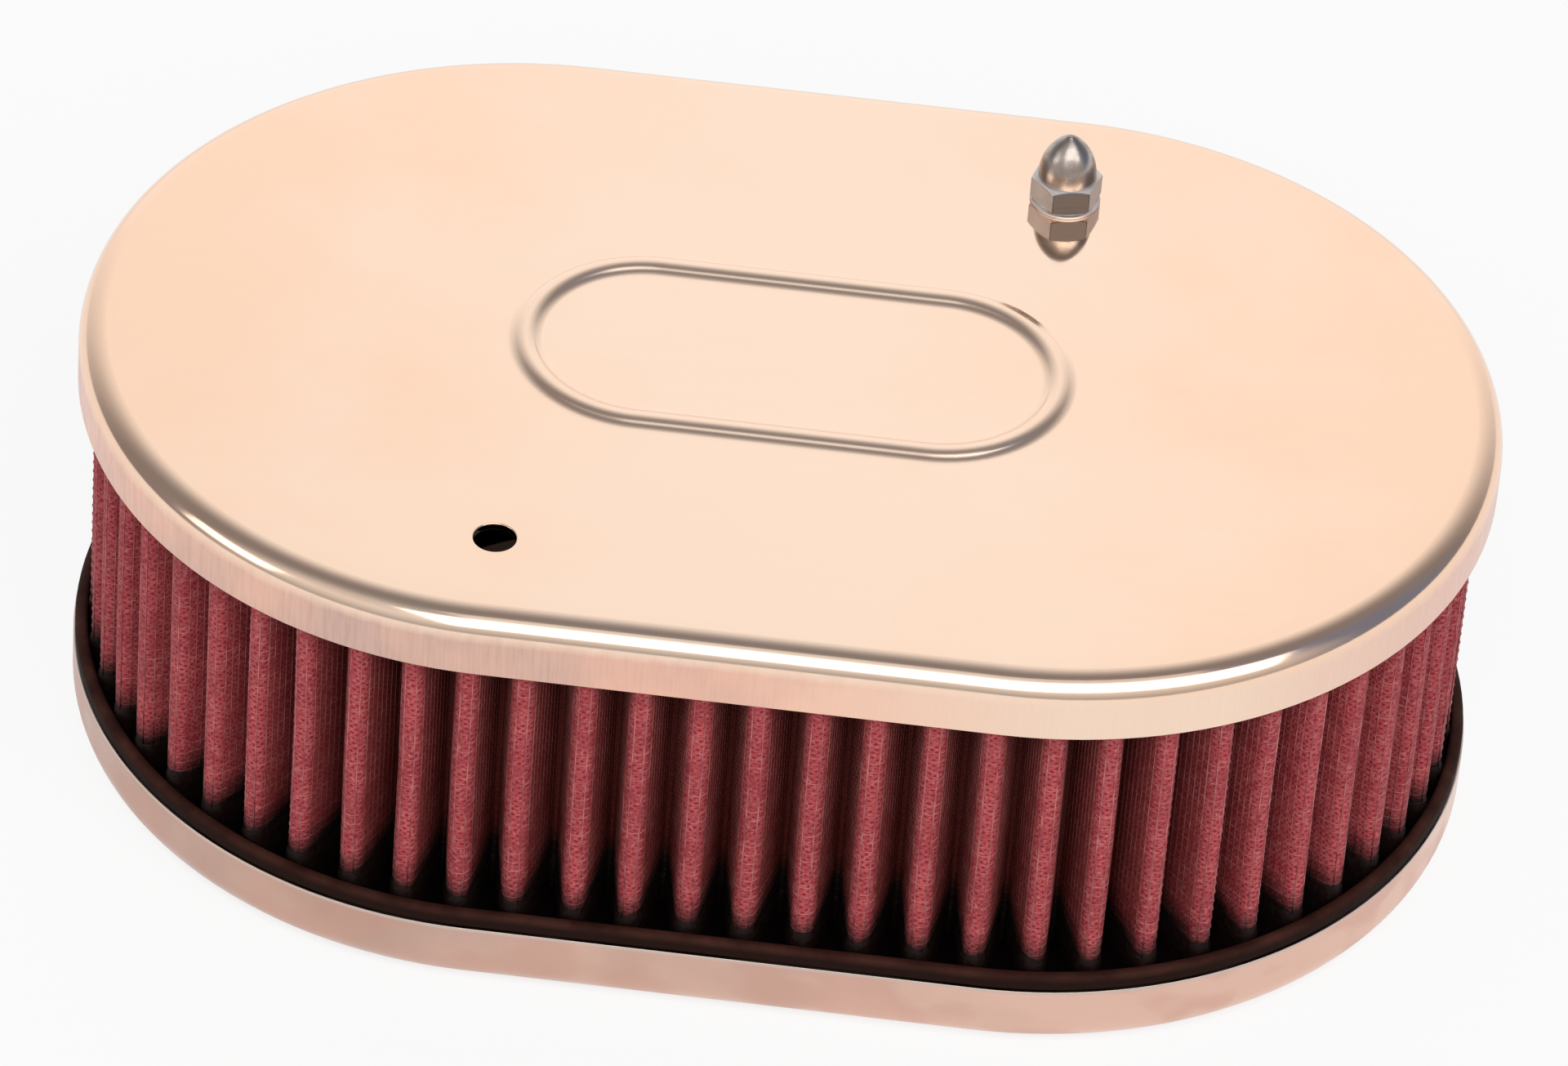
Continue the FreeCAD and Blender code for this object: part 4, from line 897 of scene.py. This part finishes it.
def make_floor():
    """Plain white floor that keeps the object's shadow. Outside the object's footprint the camera and the
    metal see it brighter, as lit paper."""
    bm = bmesh.new()
    bmesh.ops.create_grid(bm, x_segments=1, y_segments=1, size=4.0)
    mesh = bpy.data.meshes.new("floor")
    bm.to_mesh(mesh)
    bm.free()
    floor = bpy.data.objects.new("floor", mesh)
    bpy.context.scene.collection.objects.link(floor)
    material, tree = new_material("white_paper")
    paper = add(tree, "ShaderNodeBsdfDiffuse", {"Color": colour("#F7F7F6")})
    place = add(tree, "ShaderNodeTexCoord", out="Object")
    x, y = (add(tree, "ShaderNodeSeparateXYZ", {0: place}, out=axis) for axis in "XY")
    beyond = add(tree, "ShaderNodeMath", {0: x}, operation="ABSOLUTE")
    beyond = add(tree, "ShaderNodeMath", {0: beyond, 1: HALF_SPAN}, operation="SUBTRACT")
    beyond = add(tree, "ShaderNodeMath", {0: beyond, 1: 0.0}, operation="MAXIMUM")
    reach = add(tree, "ShaderNodeCombineXYZ", {0: beyond, 1: y})
    reach = add(tree, "ShaderNodeVectorMath", {0: reach}, out="Value", operation="LENGTH")
    # Under the object's footprint the paper's white drops to a faint glow of 0.04: painted shadow under the
    # pan, with a little painted light left that shows dimly through its holes.
    open_air = add(tree, "ShaderNodeMapRange", {0: reach, 1: 48.0 * MM, 2: 56.0 * MM, 3: 0.04})
    seen = add(tree, "ShaderNodeLightPath", out="Is Camera Ray")
    mirrored = add(tree, "ShaderNodeLightPath", out="Is Glossy Ray")
    seen = add(tree, "ShaderNodeMath", {0: mirrored, 1: 0.8, 2: seen}, operation="MULTIPLY_ADD")
    share = add(tree, "ShaderNodeMath", {0: seen, 1: open_air}, operation="MULTIPLY")
    share = add(tree, "ShaderNodeMath", {0: share, 1: 0.88}, operation="MULTIPLY")
    lit = add(tree, "ShaderNodeEmission", {"Color": colour("#FFFFFF"), "Strength": 1.0})
    floor_look = add(tree, "ShaderNodeMixShader", {0: share, 1: paper, 2: lit})
    add(tree, "ShaderNodeOutputMaterial", {"Surface": floor_look})
    mesh.materials.append(material)


def hang_lamp(name, azimuth, elevation, width, height, radiance):
    """A soft box that faces the object; azimuth 0 is in front of it and 90 at its right."""
    distance = 2.2
    lamp = bpy.data.lights.new(name, "AREA")
    lamp.shape = "RECTANGLE"
    lamp.size = width
    lamp.size_y = height
    lamp.energy = radiance * math.pi * width * height
    lamp.color = (1.0, 0.99, 0.98)
    box = bpy.data.objects.new(name, lamp)
    bpy.context.scene.collection.objects.link(box)
    turn, rise = math.radians(azimuth), math.radians(elevation)
    box.location = distance * Vector((math.sin(turn) * math.cos(rise), -math.cos(turn) * math.cos(rise),
                                      math.sin(rise)))
    box.rotation_mode = "QUATERNION"
    box.rotation_quaternion = Vector(box.location).to_track_quat("Z", "Y")


def light_room():
    """A plain room: a bright wall behind the object that dims towards the sides and overhead and is cooler at
    the right, a greyer wall behind the camera, and three soft boxes on the camera's side."""
    world = bpy.data.worlds.new("pale_room")
    world.use_nodes = True
    tree = world.node_tree
    tree.nodes.clear()
    direction = add(tree, "ShaderNodeTexCoord", out="Generated")
    x, y, z = (add(tree, "ShaderNodeSeparateXYZ", {0: direction}, out=axis) for axis in "XYZ")
    aside = add(tree, "ShaderNodeMath", {0: x}, operation="ABSOLUTE")
    turned = add(tree, "ShaderNodeMath", {0: aside, 1: -0.4, 2: y}, operation="MULTIPLY_ADD")
    back = add(tree, "ShaderNodeMath", {0: x, 1: -0.15, 2: turned}, operation="MULTIPLY_ADD")
    share = add(tree, "ShaderNodeMapRange", {0: back, 2: 0.8})
    far_wall = add(tree, "ShaderNodeValToRGB", {0: share}, ramp=[
        (0.0, colour("#888689")), (0.23, colour("#9E9EA0")), (0.45, colour("#BEBFC1")),
        (0.63, colour("#DADBDC")), (0.82, colour("#F0F0F0")), (0.96, colour("#FFFFFF"))])
    near_wall = add(tree, "ShaderNodeValToRGB", {0: z}, ramp=[
        (0.0, colour("#A6A7A8")), (0.3, colour("#D2D2D2")), (0.5, colour("#E4E4E4")),
        (0.8, colour("#BFC1C3")), (0.97, colour("#8B9195"))])
    cooler = add(tree, "ShaderNodeMath", {0: x, 1: y}, operation="SUBTRACT")
    cooler = add(tree, "ShaderNodeMapRange", {0: cooler, 1: 0.3, 2: 0.8})
    far_wall = add(tree, "ShaderNodeMix", {0: cooler, 6: far_wall, 7: (0.74, 0.96, 1.36, 1.0)}, out=2,
                   data_type="RGBA", blend_type="MULTIPLY")
    before = add(tree, "ShaderNodeMapRange", {0: y, 1: -0.1, 2: -0.45})
    walls = add(tree, "ShaderNodeMix", {0: before, 6: far_wall, 7: near_wall}, out=2, data_type="RGBA")
    room = add(tree, "ShaderNodeBackground", {"Color": walls})
    add(tree, "ShaderNodeOutputWorld", {"Surface": room})
    bpy.context.scene.world = world
    hang_lamp("main_soft_box", azimuth=25, elevation=46, width=3.0, height=1.3, radiance=1.8)
    hang_lamp("upper_soft_box", azimuth=25, elevation=69.5, width=1.5, height=0.54, radiance=0.45)
    hang_lamp("side_soft_box", azimuth=-67, elevation=22, width=0.9, height=0.7, radiance=1.35)


def set_camera():
    """The photograph's viewpoint, fitted to the oval's outline: a long lens, tilted a little."""
    azimuth, elevation, roll = (math.radians(angle) for angle in (3.213, 39.579, 4.496))
    distance = 1237.6 * MM
    aim = Vector((0.39, 4.281, 27.0)) * MM
    back = Vector((math.sin(azimuth) * math.cos(elevation), -math.cos(azimuth) * math.cos(elevation),
                   math.sin(elevation)))
    right = (-back).cross(Vector((0, 0, 1))).normalized()
    up = back.cross(right)
    across = right * math.cos(roll) + up * math.sin(roll)
    upright = up * math.cos(roll) - right * math.sin(roll)
    lens = bpy.data.cameras.new("camera")
    lens.lens = 224.3
    lens.sensor_width = 36.0
    camera = bpy.data.objects.new("camera", lens)
    camera.matrix_world = Matrix.Translation(aim + back * distance) @ Matrix(
        (across, upright, back)).transposed().to_4x4()
    bpy.context.scene.collection.objects.link(camera)
    bpy.context.scene.camera = camera


set_camera()
light_room()
make_floor()
bpy.context.scene.view_settings.view_transform = "Standard"

urethane = make_urethane()
wire = make_coated_wire()
zinc = make_zinc_steel()
make_cover(make_polished_steel())
make_pan(make_satin_steel())
make_lower_ring(urethane)
make_upper_ring(urethane)
make_feet(make_wicked_urethane())
make_gauze(make_oiled_gauze())
make_screen("outer_wire_screen", "outer_screen", wire, 1, fold_marks(3, 2, 2))
make_screen("inner_wire_screen", "inner_screen", wire, -1, fold_marks(2, 2, 3))
make_cap_nut(make_plated_nut())
make_lower_nut(zinc)
make_washer(zinc)
make_stud(zinc)
